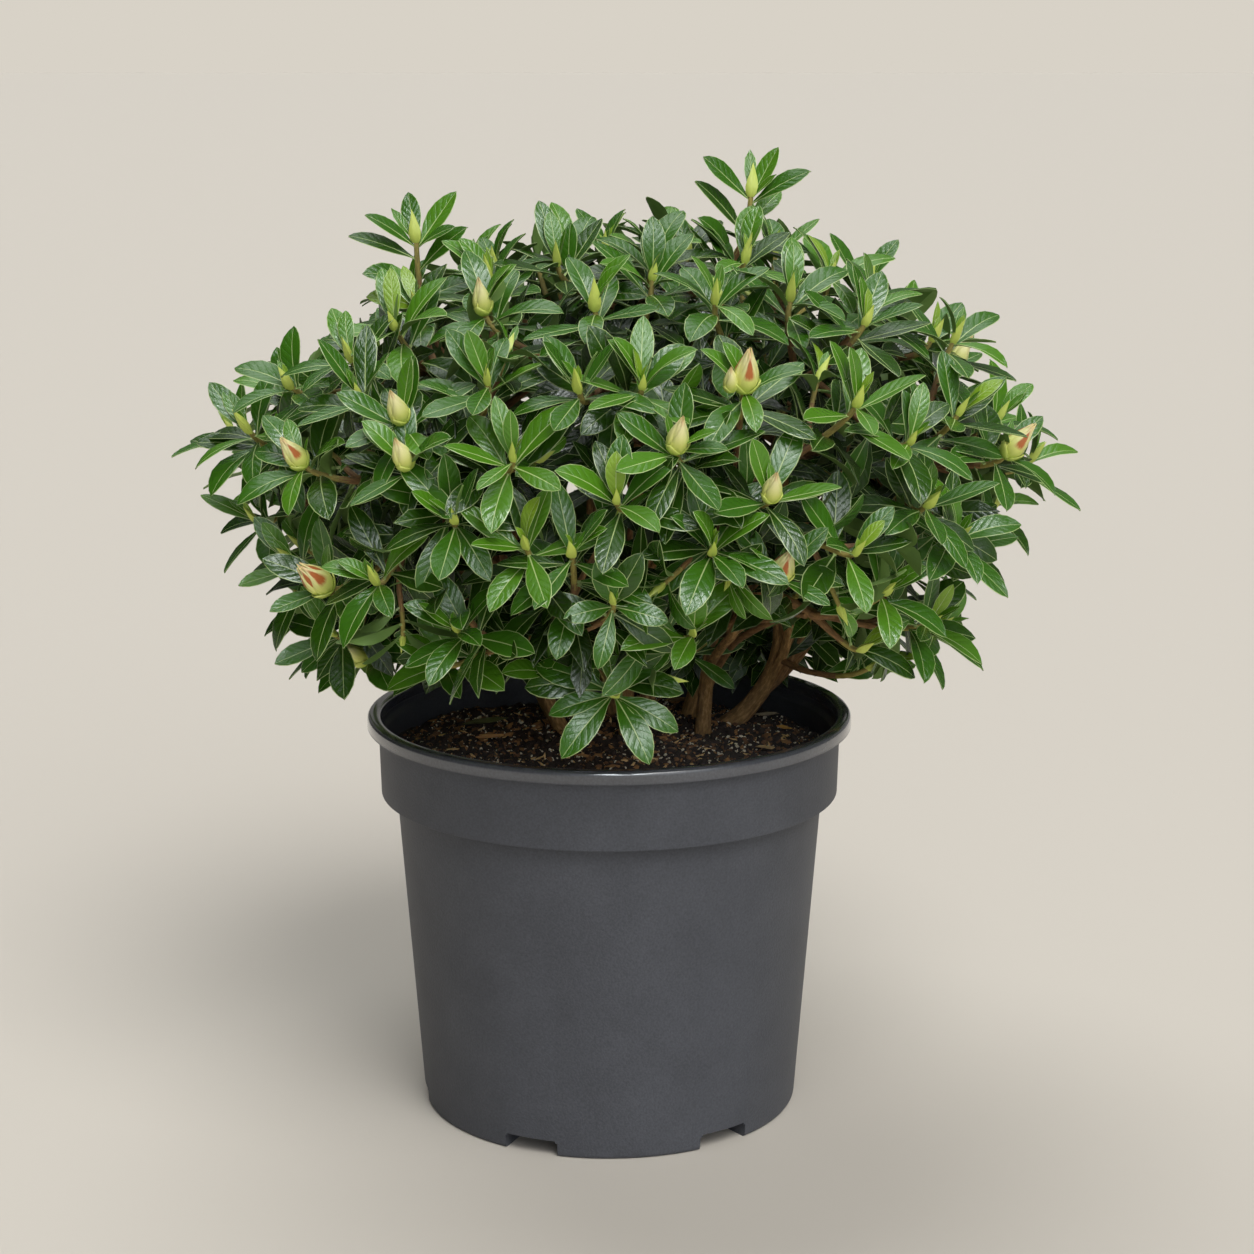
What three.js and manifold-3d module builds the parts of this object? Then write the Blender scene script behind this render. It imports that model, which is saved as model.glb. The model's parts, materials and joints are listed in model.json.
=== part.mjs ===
// A potted evergreen azalea: a round nursery pot filled with compost, a clump of
// woody stems, and a broad crown of shoots that each end in a whorl of leaves.
// Lengths are millimetres and angles are degrees. The origin is the middle of the
// pot's underside, +Z is up and the front of the plant faces -Y.
import * as THREE from "three";
import { mergeVertices } from "three/addons/utils/BufferGeometryUtils.js";
import Module from "manifold-3d";

const wasm = await Module();
wasm.setup();

// Clearance between neighbouring solids.
const GAP = 0.3;
const SEED = 2068;

const POT = {
  height: 216,
  lipRadius: 130,
  lipDepth: 7,
  lipRound: 1.6,
  mouthRadius: 122.5,
  bandTopRadius: 124,
  bandFootRadius: 123,
  bandFootHeight: 173,
  bandBevel: 2,
  bodyTopRadius: 114.8,
  footRadius: 101.8,
  footBevel: 3,
  wall: 2.5,
  floor: 12,
  shoulderRise: 6,
  ledgeRadius: 120,
  ledgeDrop: 9,
  segments: 32,
};

const DRAIN = { count: 6, heading: 6.4, width: 30, height: 8.7, innerRadius: 60 };

const SOIL = { height: 195.5, flatRadius: 82, edgeDrop: 2, wallGap: 0.4 };

// The ring in which the stems leave the compost, set back behind the pot's middle.
const CLUMP = { x: 17, y: 46, halfWidth: 50, halfDepth: 27 };

// The crown's surface is where the leaf whorls sit. It is widest at the waist.
const CROWN = {
  x: 8,
  y: 2,
  lean: 0.1,
  waist: 360,
  radius: 205,
  rise: 100,
  riseRoundness: 2.2,
  drop: 150,
  dropRoundness: 2.4,
  footPolar: 142,
  heartHeight: 300,
  frontLift: 34,
  frontHeading: 270,
  frontSpread: 75,
};

const SLICES = 7;
const FIRST_SLICE = 5;
const GOLDEN_ANGLE = 137.508;

// Each slice of the crown has one stem. The stem ends in the slice's high mass, and
// two boughs leave it at a share of its length for the middle and the low mass.
const TIERS = [
  { name: "high", polar: 46, turn: 0, leavesAt: 1 },
  { name: "middle", polar: 83, turn: 0.5, leavesAt: 0.42 },
  { name: "low", polar: 120, turn: 0, leavesAt: 0.16 },
];

// A limb leaves its root the way it first points for the share runOn of its reach, and
// bends from there to its tip by way of a point that sags under the straight line.
const STEM = {
  rootRadius: 5.6,
  tipRadius: 3,
  flare: 0.5,
  flareShare: 0.06,
  runOn: 0.2,
  bendAt: 0.55,
  sag: 0.02,
  sides: 8,
  steps: 7,
};
const BOUGH = {
  rootShare: 0.72,
  tipRadius: 2.5,
  runOn: 0.18,
  bendAt: 0.6,
  sag: 0.05,
  sides: 6,
  steps: 4,
};
const CENTRE_STEM = { x: 20, y: 44, rootRadius: 6.6 };
// The right-hand stem is the thickest one.
const STOUT = { slice: 0, share: 1.25 };

const ANCHOR_SHARE = 0.56;
const HUB_SHARE = 0.8;
const MASS_STEM = { rootRadius: 2.6, tipRadius: 2.2, runOn: 0.5, sides: 4, steps: 2 };
// A twig leaves its mass's stem behind the place where it ends, by up to the mass's
// reach, and runs straight for its last part.
const TWIG = {
  rootRadius: 2.2,
  tipRadius: 1.8,
  leavesBehind: 1,
  leavesSpread: 0.5,
  leavesFirst: 0.04,
  leavesLast: 0.96,
  runOn: 0.12,
  straight: 0.35,
  straightMost: 0.7,
  sides: 3,
  steps: 2,
};

const SHOOTS = 144;
const SHOOT_STEP = 2;
const SCATTER = { reach: 9, inward: 0.7, turn: 3, polar: 2.5 };
// Shoots gather towards the middle of their mass by this share of the way.
const GATHER = 0.16;
const UPTURN = 0.62;

const LEAF = {
  length: 50,
  width: 22,
  widestAt: 0.48,
  thickness: 1.6,
  rootSink: 0.6,
  droop: 4,
  cup: 1.5,
  faceUp: 0.5,
};
// The oldest leaves of a whorl lie open and the young ones stand close.
const WHORL = {
  leaves: 5,
  turn: 144,
  spread: 80,
  close: 52,
  openness: 0.6,
  spacing: 4,
  lowPairDrop: 0.5,
  youngShare: 0.72,
  sizeLeast: 0.92,
  sizeSpread: 0.16,
  sag: 0.16,
};

const BUD = { length: 21, width: 11, every: 11, setAt: 0.4 };

// The shoots that stand out of the crown: their compass heading from +X, the
// height of their leaf whorl and how far it is from the crown's axis.
const LEADERS = [
  { name: "right_spire", heading: -8, height: 496, reach: 66, bare: 42 },
  { name: "right_spire_shoulder", heading: 60, height: 470, reach: 40, bare: 12 },
  { name: "left_spire", heading: 172, height: 462, reach: 104, bare: 30 },
  { name: "top", heading: 200, height: 462, reach: 30, bare: 10 },
  { name: "left_tip", heading: 184, height: 368, reach: 208, bare: 10 },
  { name: "right_tip", heading: -3, height: 356, reach: 211, bare: 10 },
  { name: "right_shoulder", heading: -5, height: 424, reach: 188, bare: 8 },
  { name: "left_shoulder", heading: 176, height: 412, reach: 182, bare: 8 },
  { name: "front_tip", heading: 262, height: 372, reach: 198, bare: 8 },
  { name: "back_tip", heading: 84, height: 384, reach: 200, bare: 8 },
  { name: "left_foot", heading: 190, height: 262, reach: 178, bare: 8 },
  { name: "right_foot", heading: -6, height: 262, reach: 184, bare: 8 },
  { name: "front_foot", heading: 268, height: 243, reach: 96, bare: 8 },
];

const rad = THREE.MathUtils.degToRad;
const UP = new THREE.Vector3(0, 0, 1);

const barkBrown = new THREE.MeshStandardMaterial({ color: 0x5a4433, roughness: 0.9 });
const leafGreen = new THREE.MeshStandardMaterial({ color: 0x2f5a26, roughness: 0.42 });
const potGrey = new THREE.MeshStandardMaterial({ color: 0x454547, roughness: 0.55 });
const compostBrown = new THREE.MeshStandardMaterial({ color: 0x2c211a, roughness: 1 });

// A repeatable source of numbers from 0 to 1.
function seeded(seed) {
  let state = seed >>> 0;
  return () => {
    state = (state + 0x6d2b79f5) >>> 0;
    let mixed = Math.imul(state ^ (state >>> 15), state | 1);
    mixed ^= mixed + Math.imul(mixed ^ (mixed >>> 7), mixed | 61);
    return ((mixed ^ (mixed >>> 14)) >>> 0) / 2 ** 32;
  };
}

// The closed geometry as one solid, with its shared corners merged.
function solid(geometry) {
  geometry.deleteAttribute("normal");
  geometry.deleteAttribute("uv");
  const merged = mergeVertices(geometry, 1e-4);
  return new wasm.Manifold(
    new wasm.Mesh({
      numProp: 3,
      vertProperties: new Float32Array(merged.getAttribute("position").array),
      triVerts: new Uint32Array(merged.index.array),
    }),
  );
}

// Joins the solids, fills a hollow that the join seals and drops loose scraps.
function joined(solids) {
  const bodies = wasm.Manifold.union(solids).decompose();
  bodies.sort((a, b) => b.volume() - a.volume());
  return bodies[0];
}

function geometryOf(body) {
  const data = body.getMesh();
  const geometry = new THREE.BufferGeometry();
  geometry.setAttribute("position", new THREE.BufferAttribute(data.vertProperties, 3));
  geometry.setIndex(new THREE.BufferAttribute(data.triVerts, 1));
  return geometry;
}

function meshOf(name, body, material) {
  const geometry = geometryOf(body);
  geometry.computeVertexNormals();
  const mesh = new THREE.Mesh(geometry, material);
  mesh.name = name;
  return mesh;
}

// A closed round limb along a curve, whose radius changes along it.
function limb(curve, radiusAt, sides, steps) {
  const tube = new THREE.CylinderGeometry(1, 1, 1, sides, steps);
  const frames = curve.computeFrenetFrames(steps, false);
  const corners = tube.getAttribute("position");
  const place = new THREE.Vector3();
  for (let i = 0; i < corners.count; i += 1) {
    const share = corners.getY(i) + 0.5;
    const step = Math.round(share * steps);
    place.copy(curve.getPointAt(share));
    place.addScaledVector(frames.normals[step], corners.getX(i) * radiusAt(share));
    place.addScaledVector(frames.binormals[step], -corners.getZ(i) * radiusAt(share));
    corners.setXYZ(i, place.x, place.y, place.z);
  }
  return solid(tube);
}

// A pot turned on its axis, with drainage channels cut across its underside.
function potSolid() {
  const lipFoot = POT.height - POT.lipDepth;
  const outline = [
    [0, 0],
    [POT.footRadius - POT.footBevel, 0],
    [POT.footRadius, POT.footBevel],
    [POT.bodyTopRadius, POT.bandFootHeight],
    [POT.bandFootRadius - POT.bandBevel, POT.bandFootHeight],
    [POT.bandFootRadius, POT.bandFootHeight + POT.bandBevel],
    [POT.bandTopRadius, lipFoot],
    [POT.lipRadius, lipFoot],
    [POT.lipRadius, POT.height - POT.lipRound],
    [POT.lipRadius - POT.lipRound, POT.height],
    [POT.mouthRadius + POT.lipRound, POT.height],
    [POT.mouthRadius, POT.height - POT.lipRound],
    [POT.mouthRadius, POT.height - POT.ledgeDrop],
    [POT.ledgeRadius, POT.height - POT.ledgeDrop - POT.wall],
    [POT.ledgeRadius, POT.bandFootHeight + POT.shoulderRise],
    [POT.bodyTopRadius - POT.wall, POT.bandFootHeight],
    [bodyInnerRadius(POT.floor), POT.floor],
    [0, POT.floor],
  ];
  let body = turned(outline);
  const length = POT.lipRadius - DRAIN.innerRadius;
  for (let i = 0; i < DRAIN.count; i += 1) {
    const heading = rad(DRAIN.heading + (i * 360) / DRAIN.count);
    const channel = new THREE.BoxGeometry(length, DRAIN.width, 2 * DRAIN.height);
    channel.translate(DRAIN.innerRadius + length / 2, 0, 0);
    channel.rotateZ(heading);
    body = body.subtract(solid(channel));
  }
  return body;
}

// Radius of the inside of the pot's tapered wall at a height.
function bodyInnerRadius(height) {
  const share = height / POT.bandFootHeight;
  return THREE.MathUtils.lerp(POT.footRadius, POT.bodyTopRadius, share) - POT.wall;
}

// An outline of [radius, height] points turned about the vertical axis.
function turned(outline) {
  const points = outline.map(([radius, height]) => new THREE.Vector2(radius, height));
  const geometry = new THREE.LatheGeometry(points, POT.segments);
  geometry.rotateX(Math.PI / 2);
  return solid(geometry);
}

// Compost that fills the pot up to just under its inner ledge.
function soilSolid() {
  const bottom = POT.floor + GAP;
  const shoulder = POT.bandFootHeight + GAP;
  const edge = POT.ledgeRadius - SOIL.wallGap;
  return turned([
    [0, bottom],
    [bodyInnerRadius(bottom) - SOIL.wallGap, bottom],
    [bodyInnerRadius(POT.bandFootHeight) - SOIL.wallGap, shoulder],
    [edge, shoulder + POT.shoulderRise],
    [edge, SOIL.height - SOIL.edgeDrop],
    [SOIL.flatRadius, SOIL.height],
    [0, SOIL.height],
  ]);
}

// Radius and height of the crown's surface at an angle down from the top.
function crownProfile(polar) {
  const across = Math.sin(rad(polar));
  const along = Math.cos(rad(polar));
  const above = along > 0;
  const power = 2 / (above ? CROWN.riseRoundness : CROWN.dropRoundness);
  const depth = above ? CROWN.rise : -CROWN.drop;
  return {
    radius: CROWN.radius * across ** power,
    height: CROWN.waist + depth * Math.abs(along) ** power,
  };
}

// How strongly a heading belongs to the front, from 0 to 1.
function frontness(heading) {
  const away = Math.abs(((heading - CROWN.frontHeading + 540) % 360) - 180);
  return THREE.MathUtils.smoothstep(CROWN.frontSpread - away, 0, CROWN.frontSpread / 2);
}

// A point of the crown, where share 1 is its surface and share 0 its heart.
function crownPoint(heading, polar, share) {
  const { radius, height } = crownProfile(polar);
  const low = Math.max(0, (CROWN.waist - height) / CROWN.drop);
  const lifted = height + CROWN.frontLift * frontness(heading) * low ** 2;
  const surface = new THREE.Vector3(
    CROWN.x + CROWN.lean * (lifted - CROWN.waist) + radius * Math.cos(rad(heading)),
    CROWN.y + radius * Math.sin(rad(heading)),
    lifted,
  );
  const heart = new THREE.Vector3(CROWN.x, CROWN.y, CROWN.heartHeight);
  return heart.lerp(surface, share);
}

// Angles down from the top that share the crown's surface out evenly.
function evenPolars(count) {
  const slices = 400;
  const areas = [0];
  let before = crownProfile(0);
  for (let i = 1; i <= slices; i += 1) {
    const now = crownProfile((CROWN.footPolar * i) / slices);
    const slope = Math.hypot(now.radius - before.radius, now.height - before.height);
    areas.push(areas[i - 1] + slope * (now.radius + before.radius));
    before = now;
  }
  const polars = [];
  for (let i = 0; i < count; i += 1) {
    const wanted = ((i + 0.5) / count) * areas[slices];
    const at = areas.findIndex((area) => area > wanted);
    const part = (wanted - areas[at - 1]) / (areas[at] - areas[at - 1]);
    polars.push((CROWN.footPolar * (at - 1 + part)) / slices);
  }
  return polars;
}

function nearestMass(place, masses) {
  return masses.reduce((best, other) =>
    other.hub.distanceTo(place) < best.hub.distanceTo(place) ? other : best,
  );
}

// The end of every shoot: the place of its whorl and the way it points.
function shootEnds(masses) {
  const ends = [];
  const polars = evenPolars(SHOOTS);
  for (let i = 0; i < SHOOTS; i += SHOOT_STEP) {
    const random = seeded(SEED + i);
    const heading = i * GOLDEN_ANGLE + SCATTER.turn * (2 * random() - 1);
    const polar = polars[i] + SCATTER.polar * (2 * random() - 1);
    const place = crownPoint((heading % 360) + 360, polar, 1);
    const outward = place.clone().sub(crownPoint(0, 0, 0)).normalize();
    place.addScaledVector(outward, SCATTER.reach * (random() - SCATTER.inward));
    place.lerp(nearestMass(place, masses).middle, GATHER);
    ends.push({ index: i, place, outward, bare: 0 });
  }
  LEADERS.forEach((leader, i) => {
    const place = new THREE.Vector3(
      CROWN.x + leader.reach * Math.cos(rad(leader.heading)),
      CROWN.y + leader.reach * Math.sin(rad(leader.heading)),
      leader.height,
    );
    const outward = place.clone().sub(crownPoint(0, 0, 0)).normalize();
    ends.push({ index: SHOOTS + i, place, outward, bare: leader.bare });
  });
  ends.forEach((end) => {
    end.mass = nearestMass(end.place, masses);
    end.direction = end.outward.clone().addScaledVector(UP, UPTURN).normalize();
  });
  return ends;
}

// The masses of foliage, each with the middle of the space it keeps to.
function foliageMasses() {
  const masses = [];
  for (let slice = 0; slice < SLICES; slice += 1) {
    TIERS.forEach((tier) => {
      const heading = FIRST_SLICE + ((slice + tier.turn) * 360) / SLICES;
      masses.push({
        name: `foliage_${tier.name}_${slice + 1}`,
        bough: `bough_${tier.name}_${slice + 1}`,
        slice,
        tier,
        tip: crownPoint(heading, tier.polar, ANCHOR_SHARE),
        hub: crownPoint(heading, tier.polar, HUB_SHARE),
        middle: crownPoint(heading, tier.polar, 1),
      });
    });
  }
  masses.push({
    name: "foliage_top",
    slice: SLICES,
    tip: crownPoint(0, 0, ANCHOR_SHARE),
    hub: crownPoint(0, 0, HUB_SHARE),
    middle: crownPoint(0, 0, 1),
  });
  return masses;
}

// True where every point is nearer to this mass than to any other, with clearance.
function keepsToSpace(points, mass, masses) {
  return masses.every((other) => {
    if (other === mass) return true;
    const between = mass.hub.distanceTo(other.hub);
    return points.every((point) => {
      const spare = point.distanceToSquared(other.hub) - point.distanceToSquared(mass.hub);
      return spare / (2 * between) > GAP;
    });
  });
}

// True where no point is inside or close above the pot's rim or its compost.
function clearOfPot(points) {
  const insideMouth = points.every((point) => {
    const fromAxis = Math.hypot(point.x, point.y);
    return fromAxis < POT.ledgeRadius - 2 && point.z > SOIL.height + 2;
  });
  return insideMouth || points.every((point) => point.z > POT.height + 2);
}

function stemCurve(foot, tip) {
  const rise = tip.z - foot.z;
  return new THREE.CubicBezierCurve3(
    foot,
    foot.clone().addScaledVector(UP, rise * STEM.runOn),
    foot.clone().lerp(tip, STEM.bendAt).addScaledVector(UP, -rise * STEM.sag),
    tip,
  );
}

function boughCurve(root, along, tip) {
  const reach = root.distanceTo(tip);
  const start = root.clone().addScaledVector(along, reach * BOUGH.runOn);
  const bend = tip.clone().lerp(root, 1 - BOUGH.bendAt);
  bend.addScaledVector(UP, -reach * BOUGH.sag);
  return new THREE.CubicBezierCurve3(root, start, bend, tip);
}

// A stem's radius: an even taper with a flare where it meets the compost.
function stemRadius(root, share) {
  const taper = THREE.MathUtils.lerp(root, STEM.tipRadius, share);
  return taper * (1 + STEM.flare * Math.exp(-share / STEM.flareShare));
}

// Every stem and bough: its name, its solid, and how it runs on beyond its tip.
function limbs(masses) {
  const made = [];
  for (let slice = 0; slice <= SLICES; slice += 1) {
    const own = masses.filter((mass) => mass.slice === slice);
    const top = own[0];
    const centre = slice === SLICES;
    const heading = rad(FIRST_SLICE + (slice * 360) / SLICES);
    const foot = new THREE.Vector3(
      centre ? CENTRE_STEM.x : CLUMP.x + CLUMP.halfWidth * Math.cos(heading),
      centre ? CENTRE_STEM.y : CLUMP.y + CLUMP.halfDepth * Math.sin(heading),
      SOIL.height + GAP,
    );
    const stout = slice === STOUT.slice ? STOUT.share : 1;
    const root = (centre ? CENTRE_STEM.rootRadius : STEM.rootRadius) * stout;
    const curve = stemCurve(foot, top.tip);
    const wide = (extra) =>
      limb(curve, (share) => stemRadius(root, share) + extra, STEM.sides, STEM.steps);
    made.push({
      name: centre ? "stem_centre" : `stem_${slice + 1}`,
      body: wide(0),
      guard: wide(2 * GAP),
    });
    top.along = curve.getTangentAt(1);
    const guard = made.at(-1).guard;
    own.slice(1).forEach((mass) => {
      const fork = curve.getPointAt(mass.tier.leavesAt);
      const path = boughCurve(fork, curve.getTangentAt(mass.tier.leavesAt), mass.tip);
      const thick = stemRadius(root, mass.tier.leavesAt) * BOUGH.rootShare;
      const boughWide = (extra) =>
        limb(
          path,
          (share) => THREE.MathUtils.lerp(thick, BOUGH.tipRadius, share) + extra,
          BOUGH.sides,
          BOUGH.steps,
        );
      mass.along = path.getTangentAt(1);
      made.push({
        name: mass.bough,
        body: joined([boughWide(0).subtract(guard)]),
        guard: boughWide(2 * GAP),
      });
    });
  }
  return made;
}

// A flat pointed leaf of eight faces, with its root sunk into the twig.
function leafCorners(root, direction, faceUp, length, width) {
  const upper = faceUp.clone().addScaledVector(direction, -faceUp.dot(direction)).normalize();
  const side = upper.clone().cross(direction);
  const at = (along, across, above) =>
    root
      .clone()
      .addScaledVector(direction, along)
      .addScaledVector(side, across)
      .addScaledVector(upper, above);
  const middle = length * LEAF.widestAt;
  return {
    root: at(-LEAF.rootSink, 0, 0),
    tip: at(length, 0, -LEAF.droop),
    left: at(middle, width / 2, LEAF.cup),
    right: at(middle, -width / 2, LEAF.cup),
    top: at(middle, 0, LEAF.thickness / 2),
    bottom: at(middle, 0, -LEAF.thickness / 2),
  };
}

function leafSolid(corner) {
  const shape = new THREE.OctahedronGeometry(1);
  const place = shape.getAttribute("position");
  for (let i = 0; i < place.count; i += 1) {
    const [x, y, z] = [place.getX(i), place.getY(i), place.getZ(i)].map(Math.round);
    const lengthwise = x > 0 ? corner.tip : corner.root;
    const sideways = y > 0 ? corner.left : corner.right;
    const upright = z > 0 ? corner.top : corner.bottom;
    const to = x ? lengthwise : y ? sideways : upright;
    place.setXYZ(i, to.x, to.y, to.z);
  }
  return solid(shape);
}

// A plump flower bud at the end of a shoot.
function budSolid(end) {
  const shape = new THREE.OctahedronGeometry(1);
  shape.scale(BUD.width / 2, BUD.width / 2, BUD.length / 2);
  shape.applyQuaternion(new THREE.Quaternion().setFromUnitVectors(UP, end.direction));
  const middle = end.place.clone().addScaledVector(end.direction, BUD.length * BUD.setAt);
  shape.translate(middle.x, middle.y, middle.z);
  return solid(shape);
}

// The places of a shoot's leaves, oldest and widest spread first.
function whorl(end, twig) {
  const random = seeded(SEED * 3 + end.index);
  const aside = new THREE.Vector3(1, 0, 0).cross(end.direction).normalize();
  const leaves = [];
  const turnedBy = 360 * random();
  const length = twig.getLength();
  const rings = twig.getSpacedPoints(TWIG.steps);
  for (let i = 0; i < WHORL.leaves; i += 1) {
    const age = 1 - i / (WHORL.leaves - 1);
    const heading = rad(turnedBy + i * WHORL.turn);
    const open = THREE.MathUtils.lerp(WHORL.close, WHORL.spread, age ** WHORL.openness);
    const tilt = rad(open);
    const outward = aside.clone().applyAxisAngle(end.direction, heading);
    const direction = end.direction.clone().multiplyScalar(Math.cos(tilt));
    direction.addScaledVector(outward, Math.sin(tilt));
    direction.addScaledVector(UP, -WHORL.sag * age).normalize();
    const lowPair = i < 2 ? end.bare * WHORL.lowPairDrop : 0;
    const below = WHORL.spacing * (WHORL.leaves - 1 - i) + lowPair;
    const grown = THREE.MathUtils.lerp(WHORL.youngShare, 1, Math.min(1, age * 2));
    const size = grown * (WHORL.sizeLeast + WHORL.sizeSpread * random());
    const ring = TWIG.steps * Math.max(0.1, 1 - (below + 1) / length);
    const lower = Math.floor(ring);
    leaves.push({
      root: rings[lower].clone().lerp(rings[lower + 1], ring - lower),
      direction,
      length: LEAF.length * size,
      width: LEAF.width * size,
    });
  }
  return leaves;
}

// One mass: a stem that runs on from its bough, twigs, and the leaves on them.
function massSolid(mass, ends, masses, guards) {
  const start = mass.tip.clone().addScaledVector(mass.along, GAP);
  const reach = start.distanceTo(mass.hub);
  const spine = new THREE.QuadraticBezierCurve3(
    start,
    start.clone().addScaledVector(mass.along, reach * MASS_STEM.runOn),
    mass.hub,
  );
  const taper = (part) => (share) => THREE.MathUtils.lerp(part.rootRadius, part.tipRadius, share);
  const pieces = [limb(spine, taper(MASS_STEM), MASS_STEM.sides, MASS_STEM.steps)];
  const isFree = (body) => guards.every((guard) => guard.intersect(body).isEmpty());
  ends.forEach((end) => {
    const random = seeded(SEED * 7 + end.index);
    const ahead = end.place.clone().sub(start).dot(mass.hub.clone().sub(start)) / reach ** 2;
    const wanted = ahead - TWIG.leavesBehind + TWIG.leavesSpread * random();
    const leave = THREE.MathUtils.clamp(wanted, TWIG.leavesFirst, TWIG.leavesLast);
    const root = spine.getPointAt(leave);
    const length = root.distanceTo(end.place);
    const straight = Math.min(end.bare + length * TWIG.straight, length * TWIG.straightMost);
    const twig = new THREE.CubicBezierCurve3(
      root,
      root.clone().addScaledVector(spine.getTangentAt(leave), length * TWIG.runOn),
      end.place.clone().addScaledVector(end.direction, -straight),
      end.place,
    );
    const twigBody = limb(twig, taper(TWIG), TWIG.sides, TWIG.steps);
    if (!keepsToSpace(twig.getPoints(8), mass, masses) || !isFree(twigBody)) return;
    pieces.push(twigBody);
    whorl(end, twig).forEach((leaf) => {
      const faceUp = end.direction.clone().addScaledVector(UP, LEAF.faceUp);
      const corners = leafCorners(leaf.root, leaf.direction, faceUp, leaf.length, leaf.width);
      const points = Object.values(corners);
      if (!keepsToSpace(points, mass, masses) || !clearOfPot(points)) return;
      const body = leafSolid(corners);
      if (isFree(body)) pieces.push(body);
    });
    if (end.index % BUD.every === 0) pieces.push(budSolid(end));
  });
  return joined(pieces);
}

const plant = new THREE.Group();
plant.add(meshOf("pot", potSolid(), potGrey));
plant.add(meshOf("soil", soilSolid(), compostBrown));

const masses = foliageMasses();
const woody = limbs(masses);
woody.forEach(({ name, body }) => plant.add(meshOf(name, body, barkBrown)));

const guards = woody.map(({ guard }) => guard);
const ends = shootEnds(masses);
masses.forEach((mass) => {
  const own = ends.filter((end) => end.mass === mass);
  plant.add(meshOf(mass.name, massSolid(mass, own, masses, guards), leafGreen));
});

export default plant;
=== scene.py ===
import json
import math
from functools import lru_cache
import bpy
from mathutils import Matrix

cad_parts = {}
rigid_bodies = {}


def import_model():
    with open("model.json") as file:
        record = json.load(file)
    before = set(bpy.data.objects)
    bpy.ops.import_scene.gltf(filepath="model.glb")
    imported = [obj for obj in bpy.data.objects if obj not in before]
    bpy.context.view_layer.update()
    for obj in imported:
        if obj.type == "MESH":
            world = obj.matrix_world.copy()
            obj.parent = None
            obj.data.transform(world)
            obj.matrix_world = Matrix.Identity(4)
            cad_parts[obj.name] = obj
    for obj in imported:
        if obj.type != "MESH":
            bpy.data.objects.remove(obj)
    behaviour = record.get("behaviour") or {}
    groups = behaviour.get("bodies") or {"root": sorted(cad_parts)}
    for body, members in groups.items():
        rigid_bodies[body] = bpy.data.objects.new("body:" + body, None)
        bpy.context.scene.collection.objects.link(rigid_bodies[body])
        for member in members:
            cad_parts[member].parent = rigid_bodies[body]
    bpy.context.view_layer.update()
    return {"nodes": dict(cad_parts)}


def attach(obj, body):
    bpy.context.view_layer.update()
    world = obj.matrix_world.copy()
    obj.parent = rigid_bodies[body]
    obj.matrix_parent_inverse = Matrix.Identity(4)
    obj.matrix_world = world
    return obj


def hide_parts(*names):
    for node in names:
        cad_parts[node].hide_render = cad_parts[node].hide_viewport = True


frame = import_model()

from types import SimpleNamespace

import bmesh
import bpy
from bpy.props import FloatProperty, FloatVectorProperty, IntProperty, PointerProperty
from mathutils import Matrix, Vector, noise

bl_info = {
    "name": "Potted azalea shrub",
    "version": (1, 0, 0),
    "blender": (4, 5, 0),
    "location": "3D View > Sidebar > Azalea",
    "description": "Grows a leafy evergreen azalea in its nursery pot around the packed model",
    "category": "Object",
}

# Blender works in metres. The pot and the growth rule are written in millimetres, with
# angles in degrees, as in the CAD source.
MM = 0.001
UP = Vector((0, 0, 1))
FRONT = Vector((0, -1, 0))
SEED = 2068
MAP_NAME = "OFBake"

POT = SimpleNamespace(
    height=216,
    lip_radius=130,
    lip_depth=7,
    mouth_radius=122.5,
    band_top_radius=124,
    band_foot_radius=123,
    band_foot_height=173,
    body_top_radius=114.8,
    foot_radius=101.8,
    wall=2.5,
    floor=12,
    shoulder_rise=6,
    ledge_radius=120,
    ledge_drop=9,
)
DRAIN = SimpleNamespace(count=6, heading=6.4, width=30, height=8.7, inner_radius=60)
SOIL = SimpleNamespace(height=195.5, flat_radius=82, edge_drop=2, wall_gap=0.4)
CLUMP = SimpleNamespace(x=17, y=46, half_width=50, half_depth=27)
CROWN = SimpleNamespace(
    x=8,
    y=2,
    lean=0.1,
    waist=360,
    radius=205,
    rise=100,
    rise_roundness=2.2,
    drop=150,
    drop_roundness=2.4,
    foot_polar=142,
    heart_height=300,
    front_lift=34,
    front_heading=270,
    front_spread=75,
)
SLICES = 7
FIRST_SLICE = 5
GOLDEN_ANGLE = 137.508
TIERS = (
    SimpleNamespace(name="high", polar=46, turn=0, leaves_at=1),
    SimpleNamespace(name="middle", polar=83, turn=0.5, leaves_at=0.42),
    SimpleNamespace(name="low", polar=120, turn=0, leaves_at=0.16),
)
STEM = SimpleNamespace(
    root_radius=4.1, tip_radius=2.3, flare=0.2, flare_share=0.04, run_on=0.3, bend_at=0.55, sag=0.02
)
# How clear of the pot and its compost the leaves keep.
GAP = 3
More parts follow.
